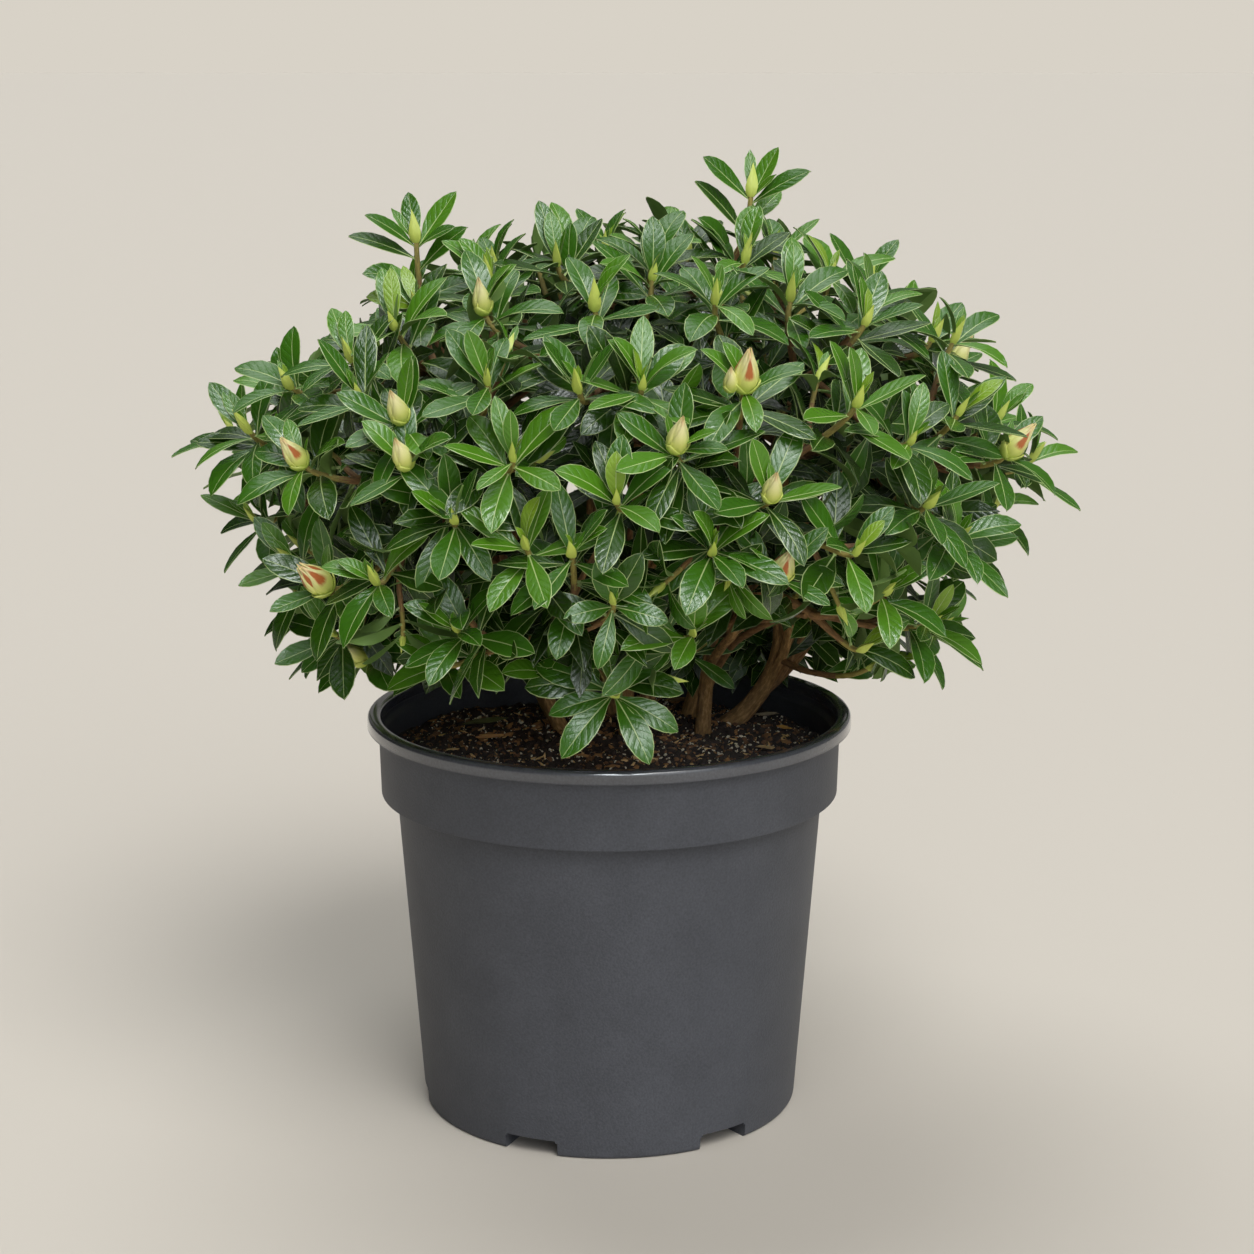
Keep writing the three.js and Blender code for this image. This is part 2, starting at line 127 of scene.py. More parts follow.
# How far each stem leans out at its foot, by slice, and last the one in the middle.
LEANS = (1.7, 0.55, 0.5, 0.65, 0.6, 0.3, 0.04, 0.1)
BOUGH = SimpleNamespace(root_share=0.68, tip_radius=2.1, run_on=0.18, bend_at=0.6, sag=0.05)
CENTRE_STEM = SimpleNamespace(x=20, y=44, root_radius=4.6)
STOUT = SimpleNamespace(slice=0, share=1.3)
ANCHOR_SHARE = 0.56
HUB_SHARE = 0.8
MASS_STEM = SimpleNamespace(root_radius=2.6, tip_radius=2.0, run_on=0.5)
TWIG = SimpleNamespace(
    root_radius=2.2,
    tip_radius=1.35,
    leaves_behind=1,
    leaves_spread=0.5,
    leaves_first=0.04,
    leaves_last=0.96,
    run_on=0.12,
    straight=0.35,
    straight_most=0.7,
)
WHIP = SimpleNamespace(root_radius=2.3, tip_radius=1.4, leaves_at=0.03, spread=0.16)
# The shape of the flower bud that each kind of shoot bears.
FLOWER_BUDS = {"flower_cream": 0, "flower_rust": 1, "flower_pair": 1, "flower_open": 2}
# The leaf shapes of each kind: the rows over the blade by share of its length, then for
# every shape its share of a grown leaf's width and its fold, rise, droop and twist.
LEAF_SHAPES = {
    "blade": (
        (0, 0.07, 0.19, 0.35, 0.53, 0.7, 0.84, 0.94, 1),
        (
            (1.0, 12, 10, 16, 5),
            (1.1, 18, 16, 26, -8),
            (0.9, 9, 4, 10, 10),
            (1.04, 22, 12, 34, 3),
            (1.16, 14, 20, 30, -4),
            (0.95, 8, 8, 40, 8),
            (1.06, 16, 2, 4, -12),
        ),
    ),
    "young": (
        (0, 0.1, 0.3, 0.55, 0.8, 1),
        ((0.8, 26, 6, -6, 4), (0.8, 32, 10, 12, -6), (0.8, 22, 0, -10, 8)),
    ),
    "shade": (
        (0, 0.12, 0.4, 0.72, 1),
        ((1.0, 12, 8, 24, 6), (1.0, 18, 12, 34, -8), (1.0, 8, 2, 16, 10)),
    ),
}
SHOOTS = 144
SCATTER = SimpleNamespace(reach=9, inward=0.7, turn=3, polar=2.5)
INNER = SimpleNamespace(shoots=108, share=0.73, turn=61)

# Leafy shoots low behind the stems, darkened with the painted-shade tints of inner shoots.
BEHIND = (
    (38, 62, 234),
    (62, 50, 246),
    (84, 62, 238),
    (104, 44, 246),
    (118, 70, 240),
    (52, 92, 230),
    (76, 104, 230),
    (98, 96, 232),
    (122, 104, 236),
    (24, 104, 234),
    (66, 128, 232),
    (142, 66, 250),
    (90, 74, 226),
    (112, 22, 256),
    (-8, 84, 236),
    (48, 156, 232),
    (82, 154, 230),
    (112, 138, 232),
    (20, 152, 234),
    (70, 78, 232),
    (108, 78, 228),
    (44, 76, 226),
)

# The shoots that stand out of the crown: compass heading from +X, height of the whorl,
# reach from the crown's axis, the length of bare stem below the whorl, and what it bears.
LEADERS = (
    ("right_spire", -8, 490, 66, 42, "spire"),
    ("right_spire_shoulder", 60, 462, 44, 12, "leaf"),
    ("left_spire", 172.5, 465, 110, 34, "spire"),
    ("top", 200, 458, 30, 10, "leaf"),
    ("left_tip", 184, 366, 203, 10, "leaf"),
    ("right_tip", -3, 352, 213, 10, "leaf"),
    ("right_shoulder", -5, 416, 160, 8, "leaf"),
    ("left_shoulder", 170, 400, 132, 8, "leaf"),
    ("front_tip", 262, 372, 198, 8, "leaf"),
    ("back_tip", 84, 384, 200, 8, "leaf"),
    ("left_foot", 190, 262, 160, 8, "leaf"),
    ("right_foot", -6, 262, 166, 8, "leaf"),
    ("front_foot", 268.6, 262, 160, 8, "low"),
    ("right_hem", -1, 238, 131, 12, "leaf"),
    ("front_of_stems", -2, 245, 34, 6, "low"),
)

# The leaves of the shoots that show most: heading about the shoot, counted from its
# right side as seen from outside, angle from the stem, distance below the bud, share of
# a grown leaf's size, and tint.
KNOWN_LEAVES = {
    "left_spire": (
        (98, 30, 3, 0.8, "green"),
        (18, 33, 4, 0.95, "fresh"),
        (-28, 60, 4, 0.72, "green"),
        (200, 57, 4, 0.85, "green"),
        (158, 38, 1, 0.58, "fresh"),
        (190, 66, 10, 1.0, "deep"),
        (-16, 46, 17, 0.98, "green"),
        (206, 68, 24, 0.92, "green"),
        (20, 70, 34, 0.9, "green"),
        (202, 58, 38, 0.84, "young"),
        (285, 84, 40, 0.8, "green"),
    ),
    "right_spire": (
        (194, 55, 3, 0.88, "green"),
        (96, 24, 1, 0.66, "fresh"),
        (28, 26, 2, 0.78, "fresh"),
        (-22, 50, 2, 0.5, "fresh"),
        (-12, 58, 5, 0.95, "green"),
        (188, 63, 21, 1.0, "deep"),
        (48, 42, 17, 0.78, "fresh"),
        (-12, 68, 26, 0.95, "green"),
        (5, 62, 31, 0.5, "fresh"),
        (205, 70, 36, 0.9, "green"),
        (290, 84, 38, 0.8, "green"),
    ),
    "face_270_105": (
        (122, 26, 1, 0.8, "green"),
        (57, 34, 2, 0.86, "deep"),
        (33, 42, 1, 0.58, "fresh"),
        (-18, 72, 4, 0.72, "green"),
        (-158, 72, 4, 0.7, "green"),
        (-103, 88, 6, 0.78, "green"),
        (-30, 86, 11, 0.94, "deep"),
        (96, 74, 13, 0.84, "deep"),
        (172, 80, 16, 0.88, "deep"),
        (10, 74, 19, 0.84, "deep"),
        (60, 16, 0, 0.3, "fresh"),
    ),
    "front_of_stems": (
        (-36, 74, 3, 0.8, "green"),
        (18, 72, 4, 0.82, "deep"),
        (62, 40, 2, 0.6, "deep"),
        (118, 46, 2, 0.56, "deep"),
        (168, 76, 6, 0.8, "deep"),
        # This low leaf takes the shade green, painted shade.
        (-120, 80, 8, 0.7, "shade"),
        (70, 16, 0, 0.3, "fresh"),
    ),
    "front_foot": (
        (96, 62, 2, 0.92, "fresh"),
        (41, 74, 3, 0.96, "green"),
        (-34, 84, 4, 0.94, "green"),
        (-62, 90, 5, 1.04, "green"),
        (-129, 90, 6, 1.08, "green"),
        (-156, 84, 5, 0.88, "green"),
        (163, 80, 7, 1.06, "green"),
        (186, 86, 13, 1.08, "deep"),
        (68, 66, 11, 0.9, "deep"),
        (-8, 84, 14, 1.0, "deep"),
        (14, 80, 18, 0.9, "deep"),
        (120, 24, 0, 0.36, "young"),
        (20, 26, 0, 0.34, "fresh"),
        (-90, 30, 0, 0.3, "young"),
    ),
}

# How far the crown's sides keep to the full round at a height: left and right shares.
SIDES = (
    (215, 0.80, 0.86),
    (235, 0.86, 0.86),
    (262, 0.86, 0.90),
    (290, 0.87, 0.92),
    (315, 0.93, 0.95),
    (345, 0.98, 1.0),
    (375, 0.98, 0.97),
    (395, 0.84, 0.90),
    (412, 0.70, 0.88),
    (432, 0.80, 0.86),
    (450, 0.95, 0.95),
    (470, 1.0, 1.0),
)

# The shoots that show from the front: heading and angle down from the top on the
# crown, and what the shoot bears. They take the place of the rule's shoots near them.
FACE_SHOOTS = (
    (236, 39, "flower_cream"),
    (220, 47, "bright"),
    (219, 58, "leaf"),
    (209, 68, "leaf"),
    (202, 82, "leaf"),
    (227, 67, "leaf"),
    (248, 61, "leaf"),
    (221, 86, "flower_rust"),
    (240, 83, "flower_cream"),
    (237, 72, "flower_cream"),
    (255, 80, "bright"),
    (224, 15, "leaf"),
    (260, 36, "bud"),
    (262, 62, "leaf"),
    (271, 61, "bright"),
    (273, 22, "leaf"),
    (287, 34, "leaf"),
    (307, 34, "leaf"),
    (276, 77, "flower_cream"),
    (286, 62, "flower_pair"),
    (317, 45, "leaf"),
    (338, 55, "leaf"),
    (303, 68, "bright"),
    (311, 79, "leaf"),
    (338, 88, "flower_rust"),
    (248, 92, "leaf"),
    (258, 95, "bright"),
    (226, 107, "flower_open"),
    (236, 104, "leaf"),
    (248, 114, "leaf"),
    (222, 121, "leaf"),
    (264, 96, "leaf"),
    (269, 89, "leaf"),
    (270, 105, "leaf"),
    (282, 96, "leaf"),
    (289, 89, "flower_cream"),
    (292, 101, "flower_rust"),
    (303, 98, "leaf"),
    (315, 92, "leaf"),
    (324, 99, "leaf"),
    (331, 119, "leaf"),
    (317, 127, "leaf"),
)

# What lies on the compost: colour, the lump's three widths as shares of its size, how
# many on a square metre, least and greatest size in metres, and how far they tilt.
CRUMBS = (
    ("crumbs_dark", "33241a", (1, 0.85, 0.7), 90000, 0.0014, 0.006, 0.9),
    ("crumbs_brown", "7c5838", (1, 0.8, 0.6), 40000, 0.0012, 0.005, 0.9),
    ("bark_chips", "a87a4a", (1, 0.42, 0.24), 11000, 0.003, 0.0115, 0.6),
    ("straw_bits", "f6cf90", (1, 0.2, 0.14), 15000, 0.0018, 0.01, 0.5),
    ("pale_specks", "fff4dc", (1, 0.75, 0.6), 46000, 0.0008, 0.0031, 0.9),
)
# The small sticks on it: colour, place, length, thickness and heading.
STICKS = (
    ("stick_tan", "d09a60", (-65, 6, 199.2), 14, 3.4, 10),
    ("stick_mossy", "5c5f2e", (-68, 38, 199.6), 26, 3.8, 30),
    ("stick_bark", "8a6240", (62, -66, 198.6), 13, 3.2, -40),
    ("stick_pale", "e6c48c", (84, -16, 198.8), 10, 2.6, -24),
    ("stick_thin", "b98a58", (-20, -88, 198.4), 13, 1.8, 70),
    ("stick_back", "8d6a42", (40, 92, 198.6), 16, 3.0, 10),
    ("stick_straw", "f2bd62", (96, 24, 199.4), 10, 2.6, -38),
    ("stick_amber", "d9a05c", (106, -11, 198.8), 8, 2.4, 35),
    ("stick_worn", "c9a476", (70, -44, 198.8), 9, 2.6, 55),
    ("stick_grey", "a8977c", (88, 56, 199.0), 12, 2.6, 15),
)

# The soft light all round: where each glow comes from, how narrow it is, its strength
# and its colour.
SOFT_LIGHTS = (
    ((0.3, 1, 0.15), 3, 0.3, (1.0, 0.97, 0.92)),
    ((0.3, -1, 0.15), 5, 1.05, (0.95, 1.0, 1.08)),
    ((0.4, -0.8, 0.62), 14, 2.3, (1.0, 0.99, 0.97)),
    ((0, 0, 1), 4, 0.3, (0.98, 1.0, 1.02)),
)
# The lamps: the way to each, power, angle across, colour, and whether it gives only sheen.
LAMPS = (
    ("key_light", (0.3, -0.75, 1.1), 1.4, 32, (1, 0.99, 0.97), False),
    ("sheen_light", (0.15, -0.6, 1.0), 1.7, 9, (0.93, 0.98, 1), True),
    ("rim_light", (0.1, -1.0, 0.6), 2.0, 26, (0.9, 0.97, 1), True),
    ("back_light", (-0.15, 0.35, 1), 1.3, 44, (0.97, 0.99, 1), False),
)
CAMERA = SimpleNamespace(place=(0.00953, -1.3974, 0.5643), tilt_down=0.2138, sensor=36, far=60)


def linear(hex_colour):
    """A colour written as rrggbb, as the linear values that shaders use."""
    parts = [int(hex_colour[i : i + 2], 16) / 255 for i in (0, 2, 4)]
    return tuple(p / 12.92 if p < 0.04045 else ((p + 0.055) / 1.055) ** 2.4 for p in parts)


def size_setting(name, description, default):
    return FloatProperty(
        name=name, description=description, default=default, min=0, unit="LENGTH", precision=4
    )


def share_setting(name, description, default):
    return FloatProperty(
        name=name, description=description, default=default, min=0, max=1, subtype="FACTOR"
    )


def colour_setting(name, description, hex_colour):
    return FloatVectorProperty(
        name=name,
        description=description,
        default=linear(hex_colour),
        min=0,
        max=1,
        size=3,
        subtype="COLOR",
    )


def count_setting(name, description, default):
    return IntProperty(name=name, description=description, default=default, min=1)


class PotSettings(bpy.types.PropertyGroup):
    lip_round: size_setting("Lip rounding", "Radius of the rim's rounded corners", 0.0024)
    edge_round: size_setting("Edge rounding", "Radius of the band's and the foot's edges", 0.0007)
    segments: count_setting("Segments", "Faces round the pot", 128)
    plastic: colour_setting("Plastic", "Colour of the moulded plastic", "4b4d53")
    grain: size_setting("Grain", "Width of the plastic's fine grain", 0.0007)


class CompostSettings(bpy.types.PropertyGroup):
    peat: colour_setting("Peat", "Colour of the damp compost", "3a2a1f")
    relief: size_setting("Relief", "Height of the compost's bumps", 0.0035)


class WoodSettings(bpy.types.PropertyGroup):
    bark: colour_setting("Bark", "Colour of the old bark", "94703f")
    # Painted highlight: the light tan that the bark's ridges take, as if lit.
    bark_highlight: colour_setting("Light bark", "Colour of the bark's worn ridges", "cba066")
    twig: colour_setting("Twig", "Colour of a woody twig", "805f38")
    shoot: colour_setting("Shoot", "Colour of this year's soft shoot", "958841")
    relief: share_setting("Relief", "Depth of the bark's ridges as a share of the radius", 0.14)
    sides: count_setting("Sides", "Faces round a stem", 20)


class LeafSettings(bpy.types.PropertyGroup):
    length: size_setting("Length", "Length of a grown leaf", 0.0385)
    width: size_setting("Width", "Width of a grown leaf", 0.0127)
    thickness: size_setting("Thickness", "Thickness of a leaf", 0.0004)
    rib: size_setting("Rib", "Width of the pale middle rib", 0.0006)
    deep: colour_setting("Deep green", "Blade of an old leaf", "2a4e08")
    green: colour_setting("Green", "Blade of a grown leaf", "376612")
    fresh: colour_setting("Fresh green", "Blade of a leaf of this season", "4d7f18")
    young: colour_setting("Young green", "Blade of a young leaf", "82a62c")
    # Painted shade: the shade green is a darkened green that stands in for the shade deep inside
    # the crown.
    shade: colour_setting("Shade green", "Blade of a leaf inside the crown", "1d3506")
    rib_colour: colour_setting("Rib colour", "Middle rib and stalk of a blade", "a9bd78")
    under: colour_setting("Underside", "Underside of a blade", "6d8c43")
    gloss: share_setting("Roughness", "Roughness of a blade's upper side", 0.24)


class BudSettings(bpy.types.PropertyGroup):
    length: size_setting("Length", "Length of a flower bud", 0.0245)
    width: size_setting("Width", "Width of a flower bud", 0.0092)
    foot: colour_setting("Foot", "Colour of a flower bud's foot", "a6c43c")
    scale: colour_setting("Scale", "Colour of the middle of a bud scale", "dade76")
    crest: colour_setting("Crest", "Colour of a bud scale's end", "f8f0b4")
    point: colour_setting("Point", "Colour of a bud scale's very tip", "ecc08a")
    stain: colour_setting("Stain", "Colour of the rust stain on a scale", "b4581c")
    tip: colour_setting("Leaf bud", "Colour of a leaf bud", "c8d660")


class StageSettings(bpy.types.PropertyGroup):
    floor: colour_setting("Floor", "Colour of the plain floor", "cdc6bb")
    wall: colour_setting("Wall", "Colour seen behind the floor's far end", "d8d2c7")
    focal: FloatProperty(
        name="Focal length",
        description="Focal length of the camera in millimetres",
        default=76.65,
        min=1,
    )


def seeded(seed):
    """A repeatable source of numbers from 0 to 1, the same as the CAD source's."""
    mask = 0xFFFFFFFF
    state = seed & mask

    def following():
        nonlocal state
        state = (state + 0x6D2B79F5) & mask
        mixed = ((state ^ (state >> 15)) * (state | 1)) & mask
        mixed ^= (mixed + (mixed ^ (mixed >> 7)) * (mixed | 61)) & mask
        return ((mixed ^ (mixed >> 14)) & mask) / 2**32

    return following


def lerp(a, b, share):
    return a + (b - a) * share


def clamp(value, least, most):
    return max(least, min(most, value))


def bent(vector, axis, degrees):
    """The vector turned about an axis."""
    return Matrix.Rotation(math.radians(degrees), 3, axis) @ vector


def aside_of(axis):
    """A direction at right angles to the axis."""
    return Vector((1, 0, 0)).cross(axis).normalized()


def taper(root, tip, thick=1.0):
    """An even taper, as a function of the share of a limb's length."""
    return lambda share: lerp(root, tip, share) * thick


class Path:
    """A smooth curve through the pull of its control points, read by share of length."""

    def __init__(self, *controls, samples=40):
        degree = len(controls) - 1
        self.points = []
        for i in range(samples + 1):
            t = i / samples
            place = Vector((0, 0, 0))
            for k, control in enumerate(controls):
                place += control * math.comb(degree, k) * (1 - t) ** (degree - k) * t**k
            self.points.append(place)
        self.reached = [0.0]
        for a, b in zip(self.points, self.points[1:]):
            self.reached.append(self.reached[-1] + (b - a).length)
        self.length = self.reached[-1]

    def _part(self, share):
        wanted = clamp(share, 0, 1) * self.length
        at = 1
        while at < len(self.points) - 1 and self.reached[at] < wanted:
            at += 1
        span = self.reached[at] - self.reached[at - 1]
        return at, (wanted - self.reached[at - 1]) / max(span, 1e-9)

    def at(self, share):
        at, part = self._part(share)
        return self.points[at - 1].lerp(self.points[at], part)

    def along(self, share):
        at, _ = self._part(share)
        return (self.points[at] - self.points[at - 1]).normalized()


def crown_profile(polar):
    """Radius and height of the crown's surface at an angle down from the top."""
    across = math.sin(math.radians(polar))
    along = math.cos(math.radians(polar))
    above = along > 0
    power = 2 / (CROWN.rise_roundness if above else CROWN.drop_roundness)
    depth = CROWN.rise if above else -CROWN.drop
    return CROWN.radius * across**power, CROWN.waist + depth * abs(along) ** power


def frontness(heading):
    """How strongly a heading belongs to the front, from 0 to 1."""
    away = abs(((heading - CROWN.front_heading + 540) % 360) - 180)
    share = clamp((CROWN.front_spread - away) / (CROWN.front_spread / 2), 0, 1)
    return share * share * (3 - 2 * share)


def crown_point(heading, polar, share):
    """A point of the crown, where share 1 is its surface and share 0 its heart."""
    radius, height = crown_profile(polar)
    low = max(0, (CROWN.waist - height) / CROWN.drop)
    lifted = height + CROWN.front_lift * frontness(heading) * low**2
    turn = math.radians(heading)
    x = CROWN.x + CROWN.lean * (lifted - CROWN.waist) + radius * math.cos(turn)
    surface = Vector((x, CROWN.y + radius * math.sin(turn), lifted))
    heart = Vector((CROWN.x, CROWN.y, CROWN.heart_height))
    return heart.lerp(surface, share)


def even_polars(count):
    """Angles down from the top that share the crown's surface out evenly."""
    slices = 400
    areas = [0.0]
    before = crown_profile(0)
    for i in range(1, slices + 1):
        now = crown_profile(CROWN.foot_polar * i / slices)
        slope = math.hypot(now[0] - before[0], now[1] - before[1])
        areas.append(areas[-1] + slope * (now[0] + before[0]))
        before = now
    polars = []
    for i in range(count):
        wanted = (i + 0.5) / count * areas[-1]
        at = next(k for k, area in enumerate(areas) if area > wanted)
        part = (wanted - areas[at - 1]) / (areas[at] - areas[at - 1])
        polars.append(CROWN.foot_polar * (at - 1 + part) / slices)
    return polars


def foliage_masses():
    """The masses of foliage, each with the middle of the space it keeps to."""
    masses = []
    for part in range(SLICES):
        for tier in TIERS:
            heading = FIRST_SLICE + (part + tier.turn) * 360 / SLICES
            masses.append(
                SimpleNamespace(
                    slice=part,
                    tier=tier,
                    tip=crown_point(heading, tier.polar, ANCHOR_SHARE),
                    hub=crown_point(heading, tier.polar, HUB_SHARE),
                )
            )
    masses.append(
        SimpleNamespace(
            slice=SLICES,
            tier=None,
            tip=crown_point(0, 0, ANCHOR_SHARE),
            hub=crown_point(0, 0, HUB_SHARE),
        )
    )
    return masses


def drawn_in(place):
    """The place with the crown's left and right sides drawn in to their measured reach."""
    height = clamp(place.z, SIDES[0][0], SIDES[-1][0] - 1e-3)
    at = next(i for i, row in enumerate(SIDES) if row[0] > height)
    low, high = SIDES[at - 1], SIDES[at]
    part = (height - low[0]) / (high[0] - low[0])
    column = 1 if place.x < CROWN.x else 2
    share = lerp(low[column], high[column], part)
    return Vector((lerp(CROWN.x, place.x, share), place.y, place.z))


def crown_floor(place):
    """The height under which the crown bears no leaves: higher over the stems' feet."""
    over_stems = 34 * clamp((58 - abs(place.x - 84)) / 24, 0, 1) if place.y < 30 else 0
    hung = 20 * clamp((90 - abs(place.x - 70)) / 40, 0, 1) * clamp((place.y - 20) / 30, 0, 1)
    return 213 + 0.24 * max(0, -place.y, 0.4 * place.y) + over_stems - hung


def far_from_all(place, ends, gap):
    return all((place - end.place).length > gap for end in ends)


def shoot_ends(masses):
    """The end of every shoot: its place, the way it points and what it bears."""
    heart = crown_point(0, 0, 0)
    ends = []

    def add(index, place, bears="leaf", bare=0.0, name=None):
        outward = (place - heart).normalized()
        ends.append(
            SimpleNamespace(
                index=index, place=place, outward=outward, bears=bears, bare=bare, name=name
            )
        )

    for i, (heading, polar, bears) in enumerate(FACE_SHOOTS):
        add(1000 + i, crown_point(heading, polar, 1), bears, name=f"face_{heading}_{polar}")
    for i, (name, heading, height, reach, bare, bears) in enumerate(LEADERS):
        turn = math.radians(heading)
        place = Vector((CROWN.x + reach * math.cos(turn), CROWN.y + reach * math.sin(turn), height))
        if bears == "spire" or far_from_all(place, ends, 26):
            add(SHOOTS + i, place, bears, bare, name)
    polars = even_polars(SHOOTS)
    for i in range(SHOOTS):
        random = seeded(SEED + i)
        heading = i * GOLDEN_ANGLE + SCATTER.turn * (2 * random() - 1)
        polar = polars[i] + SCATTER.polar * (2 * random() - 1)
        place = crown_point(heading % 360 + 360, polar, 1)
        outward = (place - heart).normalized()
        place = drawn_in(place + outward * SCATTER.reach * (random() - SCATTER.inward))
        if place.z < crown_floor(place) + 14:
            continue
        if far_from_all(place, ends, 32):
            bears = "flower_cream" if i % 16 == 7 else "leaf"
            add(i, place, "bright" if i % 9 == 4 else bears)
    polars = even_polars(INNER.shoots)
    for i in range(INNER.shoots):
        place = crown_point((INNER.turn + i * GOLDEN_ANGLE) % 360, polars[i], INNER.share)
        if drawn_in(place).z > crown_floor(place) + 16:
            add(2000 + i, drawn_in(place), "inner")
    for i, place in enumerate(BEHIND):
        add(3000 + i, Vector(place), "inner", name="behind")
    for end in ends:
        end.mass = min(masses, key=lambda mass: (mass.hub - end.place).length)
        high = clamp((end.place.z - 330) / 120, 0, 1)
        to_light = FRONT * 0.4 * clamp((60 - end.place.y) / 90, 0, 1)
        end.direction = (end.outward + UP * lerp(1.0, 1.35, high) + to_light).normalized()
        if end.bears == "spire":
            end.direction = (UP + end.outward * 0.05).normalized()
        if end.name == "behind":
            end.direction = (FRONT + UP * 0.2 + Vector((end.outward.x * 0.6, 0, 0))).normalized()
        if end.bears == "low":
            level = Vector((end.outward.x, end.outward.y, 0)).normalized() + FRONT * 2
            end.direction = (level.normalized() + UP * 0.75).normalized()
        seen_from_front = 1.2 if end.place.y < 40 else 0.4
        facing = Vector((end.outward.x, end.outward.y, 0)) + FRONT * seen_from_front
        end.facing = facing.normalized()
    return ends


def stem_radius(root, share):
    """A stem's radius: an even taper with a flare where it meets the compost."""
    taper = lerp(root, STEM.tip_radius, share)
    return taper * (1 + STEM.flare * math.exp(-share / STEM.flare_share))


def limbs(masses):
    """Every stem and bough with its path and its radius; gives each mass its way on."""
    made = []
    for part in range(SLICES + 1):
        own = [mass for mass in masses if mass.slice == part]
        top = own[0]
        centre = part == SLICES
        heading = math.radians(FIRST_SLICE + part * 360 / SLICES)
        foot = Vector(
            (
                CENTRE_STEM.x if centre else CLUMP.x + CLUMP.half_width * math.cos(heading),
                CENTRE_STEM.y if centre else CLUMP.y + CLUMP.half_depth * math.sin(heading),
                SOIL.height,
            )
        )
        root = (CENTRE_STEM.root_radius if centre else STEM.root_radius) * (
            STOUT.share if part == STOUT.slice else 1
        )
        rise = top.tip.z - foot.z
        outward = Vector((math.cos(heading), 0.6 * math.sin(heading), 0)) * LEANS[part]
        path = Path(
            foot,
            foot + (UP + outward).normalized() * rise * STEM.run_on,
            foot.lerp(top.tip, STEM.bend_at) - UP * rise * STEM.sag,
            top.tip,
        )
        made.append(SimpleNamespace(path=path, radius=lambda s, root=root: stem_radius(root, s)))
        top.ahead = path.along(1)
        for mass in own:
            mass.stem = path
        for mass in own[1:]:
            leaves_at = mass.tier.leaves_at
            fork = path.at(leaves_at)
            reach = (mass.tip - fork).length
            way = Path(
                fork,
                fork + path.along(leaves_at) * reach * BOUGH.run_on,
                mass.tip.lerp(fork, 1 - BOUGH.bend_at) - UP * reach * BOUGH.sag,
                mass.tip,
            )
            thick = stem_radius(root, leaves_at) * BOUGH.root_share
            mass.ahead = way.along(1)
            made.append(
                SimpleNamespace(
                    path=way,
                    radius=lambda s, thick=thick: lerp(thick, BOUGH.tip_radius, s)
                    * (1 + 0.22 * math.exp(-s / 0.05)),
                )
            )
    return made


def mass_stem(mass):
    """The stem that runs on from a bough's tip to the middle of its mass."""
    reach = (mass.hub - mass.tip).length
    return Path(mass.tip, mass.tip + mass.ahead * reach * MASS_STEM.run_on, mass.hub)


def whip_path(mass, random):
    """A thin branch that rises from low on a stem into its mass, beside the bough."""
    leaves_at = WHIP.leaves_at + WHIP.spread * random()
    root = mass.stem.at(leaves_at)
    aside = Vector((random() - 0.5, random() - 0.5, 0)) * 46
    goal = mass.hub.lerp(mass.tip, 0.5 * random()) + aside
    reach = (goal - root).length
    return Path(root, root + (mass.stem.along(leaves_at) + aside * 0.012) * reach * 0.35, goal)


def twig_path(end, spine):
    """A twig from its mass's stem to the end of its shoot."""
    random = seeded(SEED * 7 + end.index)
    start, hub = end.mass.tip, end.mass.hub
    reach = (hub - start).length
    ahead = (end.place - start).dot(hub - start) / reach**2
    wanted = ahead - TWIG.leaves_behind + TWIG.leaves_spread * random()
    leave = clamp(wanted, TWIG.leaves_first, TWIG.leaves_last)
    if end.name == "right_hem":
        spine, leave = end.mass.stem, 0.24
    root = spine.at(leave)
    length = (root - end.place).length
    onward = clamp(0.3 + 0.7 * end.direction.dot(end.place - root) / length, 0.25, 1)
    straight = min(end.bare + length * TWIG.straight * onward, length * TWIG.straight_most)
    return Path(
        root,
        root + spine.along(leave) * length * TWIG.run_on,
        end.place - end.direction * straight,
        end.place,
        samples=24,
    )


def clear_of_pot(points):
    """True where no point is inside or close above the pot's rim or its compost."""
    reached = [(math.hypot(point.x, point.y), point.z) for point in points]
    if all(reach < POT.ledge_radius - GAP and z > SOIL.height + GAP for reach, z in reached):
        return True
    return all(reach > POT.lip_radius + GAP or z > POT.height + GAP for reach, z in reached)


def leaf(plant, kind, root, direction, face_up, size, tint, low=False):
    """Notes one leaf, if it keeps clear of the pot and of the bare foot of the crown."""
    upper = face_up - direction * face_up.dot(direction)
    if upper.length < 0.05:
        return
    reach = 40 * size
    points = [root + direction * reach * share for share in (0.4, 0.75, 1)]
    points.append(points[-1] - UP * reach * 0.15)
    if not low and points[-1].z < crown_floor(points[-1]):
        return
    if clear_of_pot(points):
        plant.leaves.append(
            SimpleNamespace(
                kind=kind,
                root=root,
                direction=direction,
                upper=upper.normalized(),
                size=size,
                tint=tint,
            )
        )


def opened(tilt, outward, axis, facing):
    """The angle from the stem, wider on the side that an upright shoot shows."""
    toward = clamp(1.3 * outward.dot(facing), 0, 1) * clamp((axis.z - 0.3) / 0.3, 0, 1)
    return lerp(tilt, 86, 0.75 * toward)


def turned_away(end, direction, face_up):
    """True where a leaf on the crown's front would show its underside."""
    upper = face_up - direction * face_up.dot(direction)
    return end.place.y < 20 and upper.length > 0.05 and upper.normalized().dot(FRONT) < -0.05


